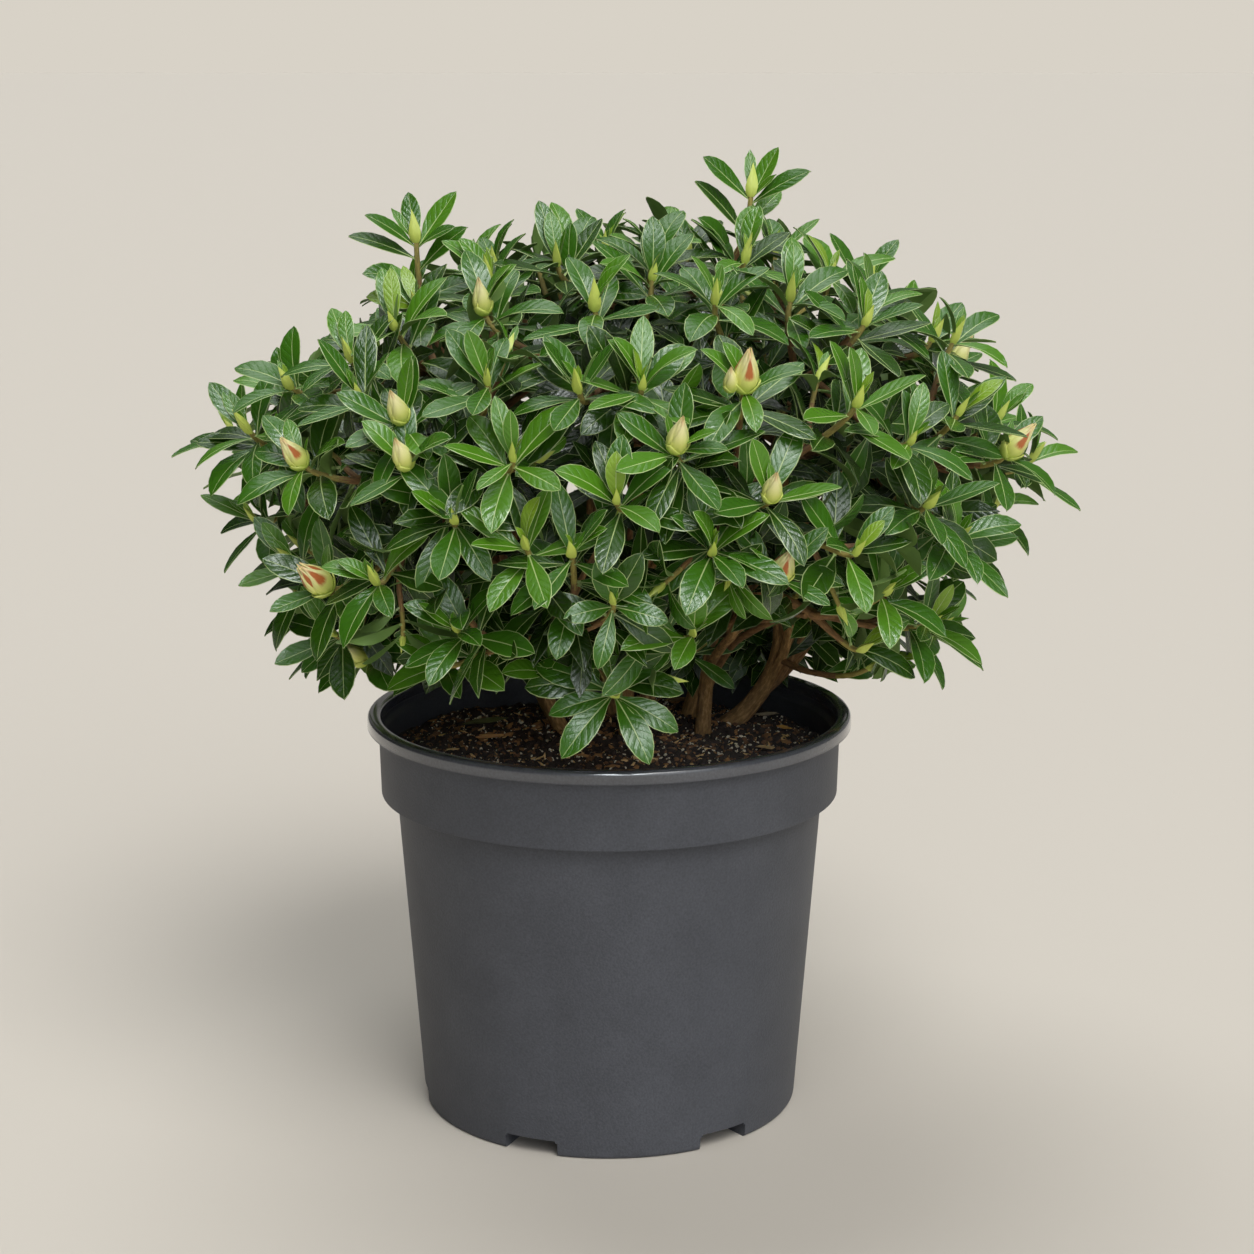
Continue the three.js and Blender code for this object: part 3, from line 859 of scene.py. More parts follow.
def whorl(plant, end, path, share=1.0):
    """The leaves at the end of a shoot, old and wide ones below, young ones within."""
    random = seeded(SEED * 3 + end.index)
    axis = end.direction
    aside = aside_of(axis)
    turned = 360 * random()
    upright = clamp(axis.z, 0, 1)
    spread = lerp(88, 68, upright)
    close = lerp(44, 30, upright)
    side = end.bears == "side"
    low = end.bears == "low"
    inside = end.bears == "inner"
    bright = end.bears == "bright"
    flower = end.bears.startswith("flower")
    length = path.length
    count = 4 + int(2 * random()) if side else 8 if low else 6 + int(3 * random())
    if not inside:
        plant.buds.append(SimpleNamespace(place=end.place, axis=axis, bears=end.bears, share=share))
    for heading, tilt, below, size, tint in KNOWN_LEAVES.get(end.name, ()):
        at = 1 - below / length
        along = axis if low else path.along(at)
        outward = bent(aside_of(along), along, 90 + heading)
        direction = along * math.cos(math.radians(tilt)) + outward * math.sin(math.radians(tilt))
        kind = "young" if size < 0.7 else "blade"
        if kind == "young" and tint == "green":
            tint = "fresh"
        face_up = along if low else along + FRONT * 0.7
        leaf(plant, kind, path.at(at), direction.normalized(), face_up, size, tint, low)
    if end.name in KNOWN_LEAVES:
        return
    face_up = axis + UP * 0.3
    for i in range(count):
        age = 1 - i / (count - 1)
        outward = bent(aside, axis, turned + i * GOLDEN_ANGLE + 14 * (random() - 0.5))
        tilt = lerp(close, spread, age**0.8) + 10 * (random() - 0.5)
        tilt = opened(tilt, outward, axis, end.facing)
        if flower:
            tilt = lerp(tilt, 84, 0.9 * clamp(outward.dot(end.facing), 0, 1))
        tilt = math.radians(tilt)
        direction = axis * math.cos(tilt) + outward * math.sin(tilt) - UP * 0.06 * age
        root = path.at(1 - (1.2 + 1.8 * (count - 1 - i)) / length)
        size = lerp(0.82, 1, min(1, age * 2.2)) * (0.88 + 0.22 * random()) * share
        tint = "fresh" if bright else ("fresh" if age < 0.35 and random() < 0.5 else "green")
        if age > 0.5 and random() < 0.5 and not bright:
            tint = "deep"
        # Inner shoots take painted shade: the dark shade green or the deep green.
        if inside:
            tint = "deep" if random() < 0.4 else "shade"
        kind = "shade" if inside else "blade"
        if turned_away(end, direction.normalized(), face_up):
            direction = axis * 0.12 + outward - UP * 0.06
        leaf(plant, kind, root, direction.normalized(), face_up, size, tint, low)
    if inside:
        return
    inner = 2 if side or flower else 3
    for i in range(inner):
        outward = bent(aside, axis, turned + 70 + (count + i) * GOLDEN_ANGLE)
        if (flower or axis.z > 0.5) and outward.dot(end.facing) > 0.05:
            outward = bent(outward, axis, 150)
        tilt = math.radians((44 if flower else 29) - 6 * i + 10 * (random() - 0.5))
        direction = axis * math.cos(tilt) + outward * math.sin(tilt)
        size = (0.7, 0.46, 0.34)[i] * (0.8 + 0.35 * random()) * share
        tint = "young" if i == 2 or bright and i or random() < 0.12 else "fresh"
        if turned_away(end, direction.normalized(), face_up):
            continue
        kind = "young" if i else "blade"
        leaf(plant, kind, end.place.copy(), direction.normalized(), face_up, size, tint, low)
    lower = 1 + int(2 * random()) if side else 3 + int(3 * random())
    for i in range(lower):
        below = 15 + 7.5 * i + 3 * random()
        if below > length * 0.75:
            break
        at = 1 - below / length
        along = path.along(at)
        outward = bent(aside_of(along), along, turned + (i + 9) * GOLDEN_ANGLE)
        tilt = math.radians(opened(64 + 18 * random(), outward, along, end.facing))
        direction = along * math.cos(tilt) + outward * math.sin(tilt) - UP * 0.15
        size = (0.86 + 0.2 * random()) * share
        tint = "deep" if random() < 0.6 else "green"
        root = path.at(at) + outward * 0.8
        if turned_away(end, direction.normalized(), along + UP * 0.6):
            direction = along * 0.1 + outward - UP * 0.2
        leaf(plant, "blade", root, direction.normalized(), along + UP * 0.6, size, tint)


def shade_leaves(plant, path, random, first, last, step):
    """Leaves along the inner part of a twig, in the dark shade and deep greens that paint the
    crown's inner shade.
    """
    at = first
    turned = 360 * random()
    while at < last:
        along = path.along(at)
        turned += GOLDEN_ANGLE
        outward = bent(aside_of(along), along, turned)
        direction = along * 0.4 + outward - UP * 0.1
        size = 0.72 + 0.26 * random()
        face_up = along + UP * 0.7
        # Painted shade: the darkest green nearer the twig's root, deeper in the crown.
        tint = "shade" if at < 0.45 or random() < 0.5 else "deep"
        if path.at(at).z > crown_floor(path.at(at)) + 18:
            leaf(plant, "shade", path.at(at), direction.normalized(), face_up, size, tint)
        at += step / path.length * (0.8 + 0.4 * random())


@lru_cache(maxsize=1)
def grown():
    """The whole plant: limbs, twigs, leaves and buds, as lists of places and sizes."""
    masses = foliage_masses()
    plant = SimpleNamespace(limbs=limbs(masses), spines=[], whips=[], twigs=[], leaves=[], buds=[])
    spines = {}
    for number, mass in enumerate(masses):
        spines[id(mass)] = mass_stem(mass)
        plant.spines.append(spines[id(mass)])
        random = seeded(SEED * 17 + number)
        plant.whips += [whip_path(mass, random), whip_path(mass, random)]
        shade_leaves(plant, spines[id(mass)], seeded(SEED * 13 + number), 0.1, 1, 7)
    ends = shoot_ends(masses)
    places = [end.place for end in ends]
    heart = crown_point(0, 0, 0)
    for end in ends:
        path = twig_path(end, spines[id(end.mass)])
        plant.twigs.append(SimpleNamespace(path=path, thick=1.0))
        whorl(plant, end, path, 1.12 if end.bears == "low" else 1.0)
        random = seeded(SEED * 11 + end.index)
        shade_leaves(plant, path, random, 0.12, 0.7, 8.5)
        for side in range(0 if end.bears == "inner" else 3):
            at = lerp(0.42, 0.74, random())
            turn = 360 * random()
            out = bent(aside_of(path.along(at)), path.along(at), turn)
            way = (path.along(at) * 0.9 + out * 0.8 + UP * 0.35).normalized()
            length = 24 + 22 * random()
            root = path.at(at)
            place = root + way * length
            limit = (end.place - heart).length * 0.95
            if (place - heart).length > limit or place.z < crown_floor(place) + 14:
                continue
            if any((place - other).length < 25 for other in places):
                continue
            places.append(place)
            bow = length * 0.3
            side_path = Path(root, root + path.along(at) * bow, place - way * bow, place)
            branch = SimpleNamespace(
                index=5000 + 10 * end.index + side,
                place=place,
                direction=way,
                facing=end.facing,
                bears="side",
                name=None,
            )
            plant.twigs.append(SimpleNamespace(path=side_path, thick=0.8))
            whorl(plant, branch, side_path, 0.88)
    return plant


class Nodes:
    """Writes a node tree as calls, each of which adds one node."""

    def __init__(self, tree):
        self.tree = tree

    def add(self, kind, inputs=None, **settings):
        node = self.tree.nodes.new(kind)
        for key, value in settings.items():
            setattr(node, key, value)
        for key, value in (inputs or {}).items():
            socket = node.inputs[key] if isinstance(key, int) else self.socket(node.inputs, key)
            if isinstance(value, bpy.types.NodeSocket):
                self.tree.links.new(value, socket)
            else:
                socket.default_value = value
        return node

    def socket(self, sockets, name):
        return next(s for s in sockets if s.name == name and s.enabled)

    def link(self, output, socket):
        self.tree.links.new(output, socket)

    def math(self, operation, a, b=0.0):
        return self.add("ShaderNodeMath", {0: a, 1: b}, operation=operation).outputs[0]

    def parts(self, vector):
        return self.add("ShaderNodeSeparateXYZ", {0: vector}).outputs

    def joined(self, *parts):
        return self.add("ShaderNodeCombineXYZ", dict(enumerate(parts))).outputs[0]

    def between(self, value, **ends):
        """The value carried over from one range to another, and held within its ends."""
        inputs = {name.replace("_", " ").title(): end for name, end in ends.items()}
        return self.add("ShaderNodeMapRange", {"Value": value, **inputs}).outputs[0]

    def object_place(self):
        return self.add("ShaderNodeTexCoord").outputs["Object"]

    def map_place(self):
        return self.add("ShaderNodeUVMap", uv_map=MAP_NAME).outputs[0]

    def stretched(self, vector, *scale):
        return self.add("ShaderNodeMapping", {"Vector": vector, "Scale": scale}).outputs[0]

    def vector(self, operation, a, b=None, scale=None):
        inputs = {0: a}
        if b is not None:
            inputs[1] = b
        if scale is not None:
            inputs["Scale"] = scale
        node = self.add("ShaderNodeVectorMath", inputs, operation=operation)
        return node.outputs[0]


class Grower(Nodes):
    """A Geometry Nodes tree with named inputs that ends in Realize and Set Material."""

    def __init__(self, name, inputs):
        super().__init__(bpy.data.node_groups.new(name, "GeometryNodeTree"))
        interface = self.tree.interface
        interface.new_socket("Geometry", in_out="INPUT", socket_type="NodeSocketGeometry")
        interface.new_socket("Geometry", in_out="OUTPUT", socket_type="NodeSocketGeometry")
        self.names = {}
        for label, kind in inputs.items():
            item = interface.new_socket(label, in_out="INPUT", socket_type="NodeSocket" + kind)
            self.names[label] = item.identifier
        self.given = self.tree.nodes.new("NodeGroupInput").outputs
        self.out = self.tree.nodes.new("NodeGroupOutput")

    def attribute(self, name, kind):
        node = self.add("GeometryNodeInputNamedAttribute", {"Name": name}, data_type=kind)
        return node.outputs[0]

    def kept(self, geometry, name, value):
        """The geometry with a value noted on it before it changes, and that value."""
        node = self.tree.nodes.new("GeometryNodeCaptureAttribute")
        node.capture_items.new("FLOAT", name)
        self.link(geometry, node.inputs[0])
        self.link(value, node.inputs[1])
        return node.outputs[0], node.outputs[1]

    def random_vector(self, low, high):
        inputs = {0: low, 1: high, 8: self.given["Seed"]}
        return self.add("FunctionNodeRandomValue", inputs, data_type="FLOAT_VECTOR").outputs[0]

    def shape_on_points(self, points, index, rotation, scale):
        """One of the given shapes on every point."""
        shapes = self.add(
            "GeometryNodeCollectionInfo",
            {"Collection": self.given["Shapes"], "Separate Children": True, "Reset Children": True},
        ).outputs[0]
        return self.add(
            "GeometryNodeInstanceOnPoints",
            {
                "Points": points,
                "Instance": shapes,
                "Pick Instance": True,
                "Instance Index": index,
                "Rotation": rotation,
                "Scale": scale,
            },
        ).outputs[0]

    def finish(self, geometry, materials):
        """Realizes, gives each part number its material and closes the tree."""
        geometry = self.add("GeometryNodeRealizeInstances", {"Geometry": geometry}).outputs[0]
        part = self.attribute("part", "INT") if len(materials) > 1 else None
        for number, material in enumerate(materials):
            inputs = {"Geometry": geometry, "Material": material}
            if part is not None:
                same = self.add(
                    "FunctionNodeCompare", {2: part, 3: number}, data_type="INT", operation="EQUAL"
                )
                inputs["Selection"] = same.outputs[0]
            geometry = self.add("GeometryNodeSetMaterial", inputs).outputs[0]
        self.tree.links.new(geometry, self.out.inputs[0])

    def run(self, source, name, values):
        """The plain mesh piece that the tree makes from a source object."""
        modifier = source.modifiers.new("Grow", "NODES")
        modifier.node_group = self.tree
        for label, value in values.items():
            modifier[self.names[label]] = value
        return plain(source, name)


def plain(source, name):
    """The mesh that an object's modifiers make, as a new object at the origin."""
    depsgraph = bpy.context.evaluated_depsgraph_get()
    depsgraph.update()
    mesh = bpy.data.meshes.new_from_object(
        source.evaluated_get(depsgraph), preserve_all_data_layers=True, depsgraph=depsgraph
    )
    mesh.name = name
    bpy.data.objects.remove(source)
    return placed(mesh)


def placed(mesh):
    piece = bpy.data.objects.new(mesh.name, mesh)
    bpy.context.scene.collection.objects.link(piece)
    return piece


def belongs(piece, nodes):
    """Makes a finished piece stand for its CAD nodes."""
    if not len(piece.data.polygons):
        raise RuntimeError(f"{piece.name} has no faces")
    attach(piece, "root")
    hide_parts(*nodes)


def nodes_of(*starts):
    return [name for name in sorted(frame["nodes"]) if name.startswith(starts)]


def mesh_from(name, build):
    """A mesh written by a function that fills a bmesh."""
    shape = bmesh.new()
    build(shape)
    mesh = bpy.data.meshes.new(name)
    shape.to_mesh(mesh)
    shape.free()
    return mesh


def surface(name, base, roughness, **shader):
    """A material with plain base colour and roughness, and its node writer."""
    material = bpy.data.materials.new(name)
    material.use_nodes = True
    material.node_tree.nodes.clear()
    nodes = Nodes(material.node_tree)
    inputs = {"Base Color": (*base, 1), "Roughness": roughness}
    inputs.update(shader)
    principled = nodes.add("ShaderNodeBsdfPrincipled", inputs)
    nodes.add("ShaderNodeOutputMaterial", {"Surface": principled.outputs[0]})
    return material, nodes, principled


def bump(nodes, principled, height, distance, strength=1.0):
    inputs = {"Height": height, "Distance": distance, "Strength": strength}
    node = nodes.add("ShaderNodeBump", inputs)
    nodes.link(node.outputs[0], principled.inputs["Normal"])


def noise_at(nodes, place, scale, detail=3.0, roughness=0.5):
    return nodes.add(
        "ShaderNodeTexNoise",
        {"Vector": place, "Scale": scale, "Detail": detail, "Roughness": roughness},
    ).outputs[0]


def ramp(nodes, factor, stops):
    node = nodes.add("ShaderNodeValToRGB", {"Fac": factor})
    elements = node.color_ramp.elements
    while len(elements) < len(stops):
        elements.new(0.5)
    for element, (place, colour) in zip(elements, stops):
        element.position = place
        element.color = (*colour, 1)
    return node.outputs[0]


def shaded(colour, share):
    return tuple(clamp(part * share, 0, 1) for part in colour)


def plastic_material(settings):
    material, nodes, principled = surface("pot_plastic", settings.plastic, 0.5)
    place = nodes.object_place()
    clouds = noise_at(nodes, place, 26.0, 4.0, 0.6)
    dark, light = shaded(settings.plastic, 0.9), shaded(settings.plastic, 1.12)
    tone = ramp(nodes, clouds, ((0.3, dark), (0.72, light)))
    grain = noise_at(nodes, place, 0.6 / settings.grain, 2.0)
    speckle = nodes.between(grain, from_min=0.3, from_max=0.7, to_min=0.86, to_max=1.14)
    grey = nodes.vector("SCALE", tone, scale=speckle)
    nodes.link(grey, principled.inputs["Base Color"])
    height = nodes.parts(place)[2]
    lip_foot = POT.height - POT.lip_depth
    rim = nodes.between(height, from_min=(lip_foot - 0.5) * MM, from_max=(lip_foot + 1.5) * MM)
    rough = nodes.between(grain, to_min=0.46, to_max=0.62)
    matt = nodes.math("SUBTRACT", 1.0, rim)
    rough = nodes.math("MULTIPLY", rough, matt)
    gloss = nodes.math("ADD", rough, nodes.math("MULTIPLY", rim, 0.13))
    nodes.link(gloss, principled.inputs["Roughness"])
    shine = nodes.math("ADD", nodes.math("MULTIPLY", rim, 0.3), 0.24)
    nodes.link(shine, principled.inputs["Specular IOR Level"])
    nodes.link(nodes.math("MULTIPLY", rim, 0.7), principled.inputs["Coat Weight"])
    principled.inputs["Coat Roughness"].default_value = 0.1
    bump(nodes, principled, nodes.math("MULTIPLY", grain, matt), 0.0003, 0.8)
    return material


def peat_material(settings):
    material, nodes, principled = surface("compost_peat", settings.peat, 0.95)
    place = nodes.object_place()
    crumbs = noise_at(nodes, place, 420.0, 6.0, 0.7)
    dark, light = shaded(settings.peat, 0.35), shaded(settings.peat, 1.9)
    tone = ramp(nodes, crumbs, ((0.35, dark), (0.75, light)))
    nodes.link(tone, principled.inputs["Base Color"])
    bump(nodes, principled, crumbs, 0.002, 1.0)
    return material


def crumb_material(name, colour, roughness=0.92):
    material, nodes, principled = surface(name, colour, roughness)
    place = nodes.object_place()
    bump(nodes, principled, noise_at(nodes, place, 900.0, 3.0), 0.0006, 0.8)
    return material


def bark_material(name, dark, light, grain, depth):
    """Bark whose fissures follow the limb, by the place that the limb's mesh carries; its ridges
    take a lighter tan, a painted highlight.
    """
    material, nodes, principled = surface(name, dark, 0.86)
    place = nodes.add("ShaderNodeAttribute", attribute_name="bark_place").outputs["Vector"]
    strips = noise_at(nodes, place, grain, 6.0, 0.68)
    tone = ramp(nodes, strips, ((0.34, shaded(dark, 0.55)), (0.5, dark), (0.68, light)))
    nodes.link(tone, principled.inputs["Base Color"])
    bump(nodes, principled, strips, depth, 0.9)
    return material


def blade_material(name, colour, roughness):
    """A glossy upper side with side veins pressed in, by the leaf's own map."""
    material, nodes, principled = surface(
        name, colour, roughness, **{"Specular IOR Level": 0.45}
    )
    place = nodes.map_place()
    parts = nodes.parts(place)
    across = nodes.math("ABSOLUTE", nodes.math("SUBTRACT", parts[0], 0.25))
    ahead = nodes.math("MULTIPLY", parts[1], 8.0)
    slanted = nodes.math("SUBTRACT", ahead, nodes.math("MULTIPLY", across, 7.0))
    wave = nodes.math("PINGPONG", slanted, 0.5)
    vein = nodes.math("POWER", nodes.math("MULTIPLY", wave, 2.0), 0.4)
    mottled = nodes.stretched(place, 26.0, 16.0, 1.0)
    rough = nodes.math("MULTIPLY", noise_at(nodes, mottled, 1.0, 3.0, 0.6), 1.6)
    bump(nodes, principled, nodes.math("ADD", vein, rough), 0.0004, 0.5)
    return material


def soft_material(name, colour, roughness, depth=0.0002):
    """A plain soft plant skin with a fine grain along its own map."""
    material, nodes, principled = surface(name, colour, roughness)
    place = nodes.map_place()
    stretched = nodes.stretched(place, 30.0, 6.0, 1.0)
    bump(nodes, principled, noise_at(nodes, stretched, 1.0, 2.0), depth, 0.5)
    return material


def bud_scale_material(settings):
    """Bud scales, green at the foot and cream at the end, some with a rust stain."""
    material, nodes, principled = surface("bud_scale", settings.scale, 0.5)
    place = nodes.map_place()
    parts = nodes.parts(place)
    tone = ramp(
        nodes,
        parts[1],
        ((0.0, settings.foot), (0.4, settings.scale), (0.8, settings.crest), (1.0, settings.point)),
    )
    streaks = nodes.stretched(place, 60.0, 3.0, 1.0)
    lines = noise_at(nodes, streaks, 1.0, 3.0)
    apart = nodes.math("ABSOLUTE", nodes.math("SUBTRACT", parts[1], 0.66))
    ends = nodes.between(apart, from_min=0.24, from_max=0.1)
    half = nodes.math("GREATER_THAN", parts[0], 0.5)
    middle = nodes.math("ABSOLUTE", nodes.math("SUBTRACT", parts[0], 0.75))
    near = nodes.between(middle, from_min=0.14, from_max=0.06)
    patch = nodes.math("MULTIPLY", nodes.math("MULTIPLY", ends, half), near)
    patch = nodes.math("MULTIPLY", patch, nodes.math("MULTIPLY", lines, 2.8))
    stain = nodes.math("MINIMUM", patch, 0.95)
    mixed = nodes.add(
        "ShaderNodeMix",
        {"Factor": stain, 6: tone, 7: (*settings.stain, 1)},
        data_type="RGBA",
    ).outputs[2]
    nodes.link(mixed, principled.inputs["Base Color"])
    bump(nodes, principled, lines, 0.0004, 0.6)
    return material


def rounded(outline, steps=4):
    """An outline of (radius, height, rounding) corners with arcs in their place."""
    points = []
    for i, (x, y, rounding) in enumerate(outline):
        corner = Vector((x, y))
        if not rounding:
            points.append(corner)
            continue
        before = Vector(outline[i - 1][:2]) - corner
        after = Vector(outline[(i + 1) % len(outline)][:2]) - corner
        cut = min(rounding, before.length * 0.49, after.length * 0.49)
        start = corner + before.normalized() * cut
        end = corner + after.normalized() * cut
        for k in range(steps + 1):
            t = k / steps
            points.append(start * (1 - t) ** 2 + corner * 2 * t * (1 - t) + end * t * t)
    return points


def turn_outline(shape, points, segments):
    """A closed outline that starts and ends on the axis, turned about it."""
    rings = []
    for point in points:
        if point.x < 1e-6:
            rings.append([shape.verts.new((0, 0, point.y * MM))])
            continue
        ring = []
        for k in range(segments):
            turn = 2 * math.pi * k / segments
            ring.append(
                shape.verts.new(
                    (point.x * MM * math.cos(turn), point.x * MM * math.sin(turn), point.y * MM)
                )
            )
        rings.append(ring)
    for low, high in zip(rings, rings[1:]):
        for k in range(segments):
            n = (k + 1) % segments
            if len(low) == 1:
                shape.faces.new((low[0], high[n], high[k]))
            elif len(high) == 1:
                shape.faces.new((low[k], low[n], high[0]))
            else:
                shape.faces.new((low[k], low[n], high[n], high[k]))
    bmesh.ops.recalc_face_normals(shape, faces=shape.faces)


def inner_radius(height):
    """Radius of the inside of the pot's tapered wall at a height."""
    share = height / POT.band_foot_height
    return lerp(POT.foot_radius, POT.body_top_radius, share) - POT.wall


def pot_mesh(settings):
    lip = settings.lip_round / MM
    edge = settings.edge_round / MM
    lip_foot = POT.height - POT.lip_depth
    outline = (
        (0, 0, 0),
        (POT.foot_radius, 0, 2.6),
        (POT.body_top_radius, POT.band_foot_height, 0.8),
        (POT.band_foot_radius, POT.band_foot_height, edge * 0.8),
        (POT.band_top_radius, lip_foot, 0.8),
        (POT.lip_radius, lip_foot, edge),
        (POT.lip_radius, POT.height, lip),
        (POT.mouth_radius, POT.height, lip),
        (POT.mouth_radius, POT.height - POT.ledge_drop, 0.8),
        (POT.ledge_radius, POT.height - POT.ledge_drop - POT.wall, 0.8),
        (POT.ledge_radius, POT.band_foot_height + POT.shoulder_rise, 0),
        (POT.body_top_radius - POT.wall, POT.band_foot_height, 0),
        (inner_radius(POT.floor), POT.floor, 1),
        (0, POT.floor, 0),
    )

    def build(shape):
        turn_outline(shape, rounded(outline), settings.segments)

    return mesh_from("pot_uncut", build)


def drain_cutter():
    """The bars that cut the drainage channels across the pot's underside."""

    def build(shape):
        length = POT.lip_radius - DRAIN.inner_radius
        for i in range(DRAIN.count):
            turn = math.radians(DRAIN.heading + i * 360 / DRAIN.count)
            place = Matrix.Rotation(turn, 4, "Z") @ Matrix.Translation(
                Vector((DRAIN.inner_radius + length / 2, 0, 0)) * MM
            )
            size = Matrix.Diagonal((length * MM, DRAIN.width * MM, 2 * DRAIN.height * MM, 1))
            bar = bmesh.ops.create_cube(shape, size=1, matrix=place @ size)["verts"]
            long_edges = [
                edge
                for edge in shape.edges
                if edge.verts[0] in bar
                and edge.verts[1] in bar
                and edge.verts[0].co.z > 0
                and edge.verts[1].co.z > 0
                and (edge.verts[0].co - edge.verts[1].co).length > length * MM * 0.9
            ]
            bmesh.ops.bevel(shape, geom=long_edges, offset=1.2 * MM, segments=2, affect="EDGES")

    return mesh_from("drain_bars", build)


def smooth_by_angle(mesh, degrees):
    mesh.shade_smooth()
    mesh.set_sharp_from_angle(angle=math.radians(degrees))


def compost_mesh(settings):
    """A full-depth plug of compost whose top is rough and lies lower at the wall."""

    def build(shape):
        bottom = POT.floor + 0.3
        shoulder = POT.band_foot_height + 0.3
        edge = POT.ledge_radius - SOIL.wall_gap
        top_radii = [edge - 2.6 * k for k in range(1, 46)]
        points = [
            Vector((0, bottom)),
            Vector((inner_radius(bottom) - SOIL.wall_gap, bottom)),
            Vector((inner_radius(POT.band_foot_height) - SOIL.wall_gap, shoulder)),
            Vector((edge, shoulder + POT.shoulder_rise)),
            Vector((edge, SOIL.height - SOIL.edge_drop)),
        ]
        for radius in top_radii:
            share = clamp((radius - SOIL.flat_radius) / (edge - SOIL.flat_radius), 0, 1)
            points.append(Vector((max(radius, 0.5), SOIL.height - SOIL.edge_drop * share)))
        points.append(Vector((0, SOIL.height)))
        turn_outline(shape, points, 160)
        for vert in shape.verts:
            if vert.co.z > (SOIL.height - SOIL.edge_drop - 0.1) * MM:
                place = vert.co * 26
                lift = noise.fractal(place, 0.9, 2.2, 5)
                lift += 0.4 * noise.noise(vert.co * 230)
                vert.co.z += lift * settings.relief
                radius = math.hypot(vert.co.x, vert.co.y)
                if radius > (edge - 3) * MM:
                    vert.co.z = min(vert.co.z, (SOIL.height - 1) * MM)

    return mesh_from("compost_plug", build)


def chunk_mesh(name, seed, squeeze, detail):
    """A lump with an uneven outline, for crumbs, chips and clods."""

    def build(shape):
        bmesh.ops.create_icosphere(shape, subdivisions=detail, radius=0.5)
        for vert in shape.verts:
            vert.co *= 1 + 0.55 * noise.noise(vert.co * 2.6 + Vector((seed * 9.1, seed, 0)))
            vert.co *= Vector(squeeze)

    return mesh_from(name, build)


def shapes_collection(name, meshes):
    """A collection of shapes out of view, for a tree to pick from."""
    collection = bpy.data.collections.new(name)
    for mesh in meshes:
        collection.objects.link(bpy.data.objects.new(mesh.name, mesh))
    return collection


def forget(collection):
    for item in list(collection.objects):
        bpy.data.objects.remove(item)
    bpy.data.collections.remove(collection)


def scatter_tree():
    """Lumps lying at random on the faces that look up."""
    tree = Grower(
        "compost_scatter",
        {
            "Shapes": "Collection",
            "Per Area": "Float",
            "Least": "Float",
            "Most": "Float",
            "Sink": "Float",
            "Tilt": "Float",
            "Reach": "Float",
            "Seed": "Int",
            "Finish": "Material",
        },
    )
    given = tree.given
    place = tree.add("GeometryNodeInputPosition").outputs[0]
    facing = tree.parts(tree.add("GeometryNodeInputNormal").outputs[0])[2]
    axes = tree.parts(place)
    flat = tree.joined(axes[0], axes[1])
    reach = tree.add("ShaderNodeVectorMath", {0: flat}, operation="LENGTH").outputs["Value"]
    upwards = tree.math("GREATER_THAN", facing, 0.25)
    high = tree.math("GREATER_THAN", axes[2], 0.17)
    near = tree.math("LESS_THAN", reach, given["Reach"])
    chosen = tree.math("MULTIPLY", tree.math("MULTIPLY", upwards, high), near)
    points = tree.add(
        "GeometryNodeDistributePointsOnFaces",
        {
            "Mesh": given["Geometry"],
            "Selection": chosen,
            "Density": given["Per Area"],
            "Seed": given["Seed"],
        },
    ).outputs["Points"]
    tilt = given["Tilt"]
    back = tree.math("MULTIPLY", tilt, -1.0)
    turn = tree.random_vector(tree.joined(back, back, 0.0), tree.joined(tilt, tilt, 6.283))
    pick = tree.add(
        "FunctionNodeRandomValue", {4: 0, 5: 50, 8: given["Seed"]}, data_type="INT"
    ).outputs[2]
    share = tree.add(
        "FunctionNodeRandomValue",
        {2: 0.0, 3: 1.0, 8: tree.math("ADD", given["Seed"], 3)},
        data_type="FLOAT",
    ).outputs[1]
    skewed = tree.math("POWER", share, 2.2)
    size = tree.between(skewed, to_min=given["Least"], to_max=given["Most"])
    lumps = tree.shape_on_points(points, pick, turn, size)
    lumps = tree.add(
        "GeometryNodeTranslateInstances",
        {
            "Instances": lumps,
            "Translation": tree.joined(0.0, 0.0, given["Sink"]),
            "Local Space": False,
        },
    ).outputs[0]
    tree.finish(lumps, [given["Finish"]])
    return tree


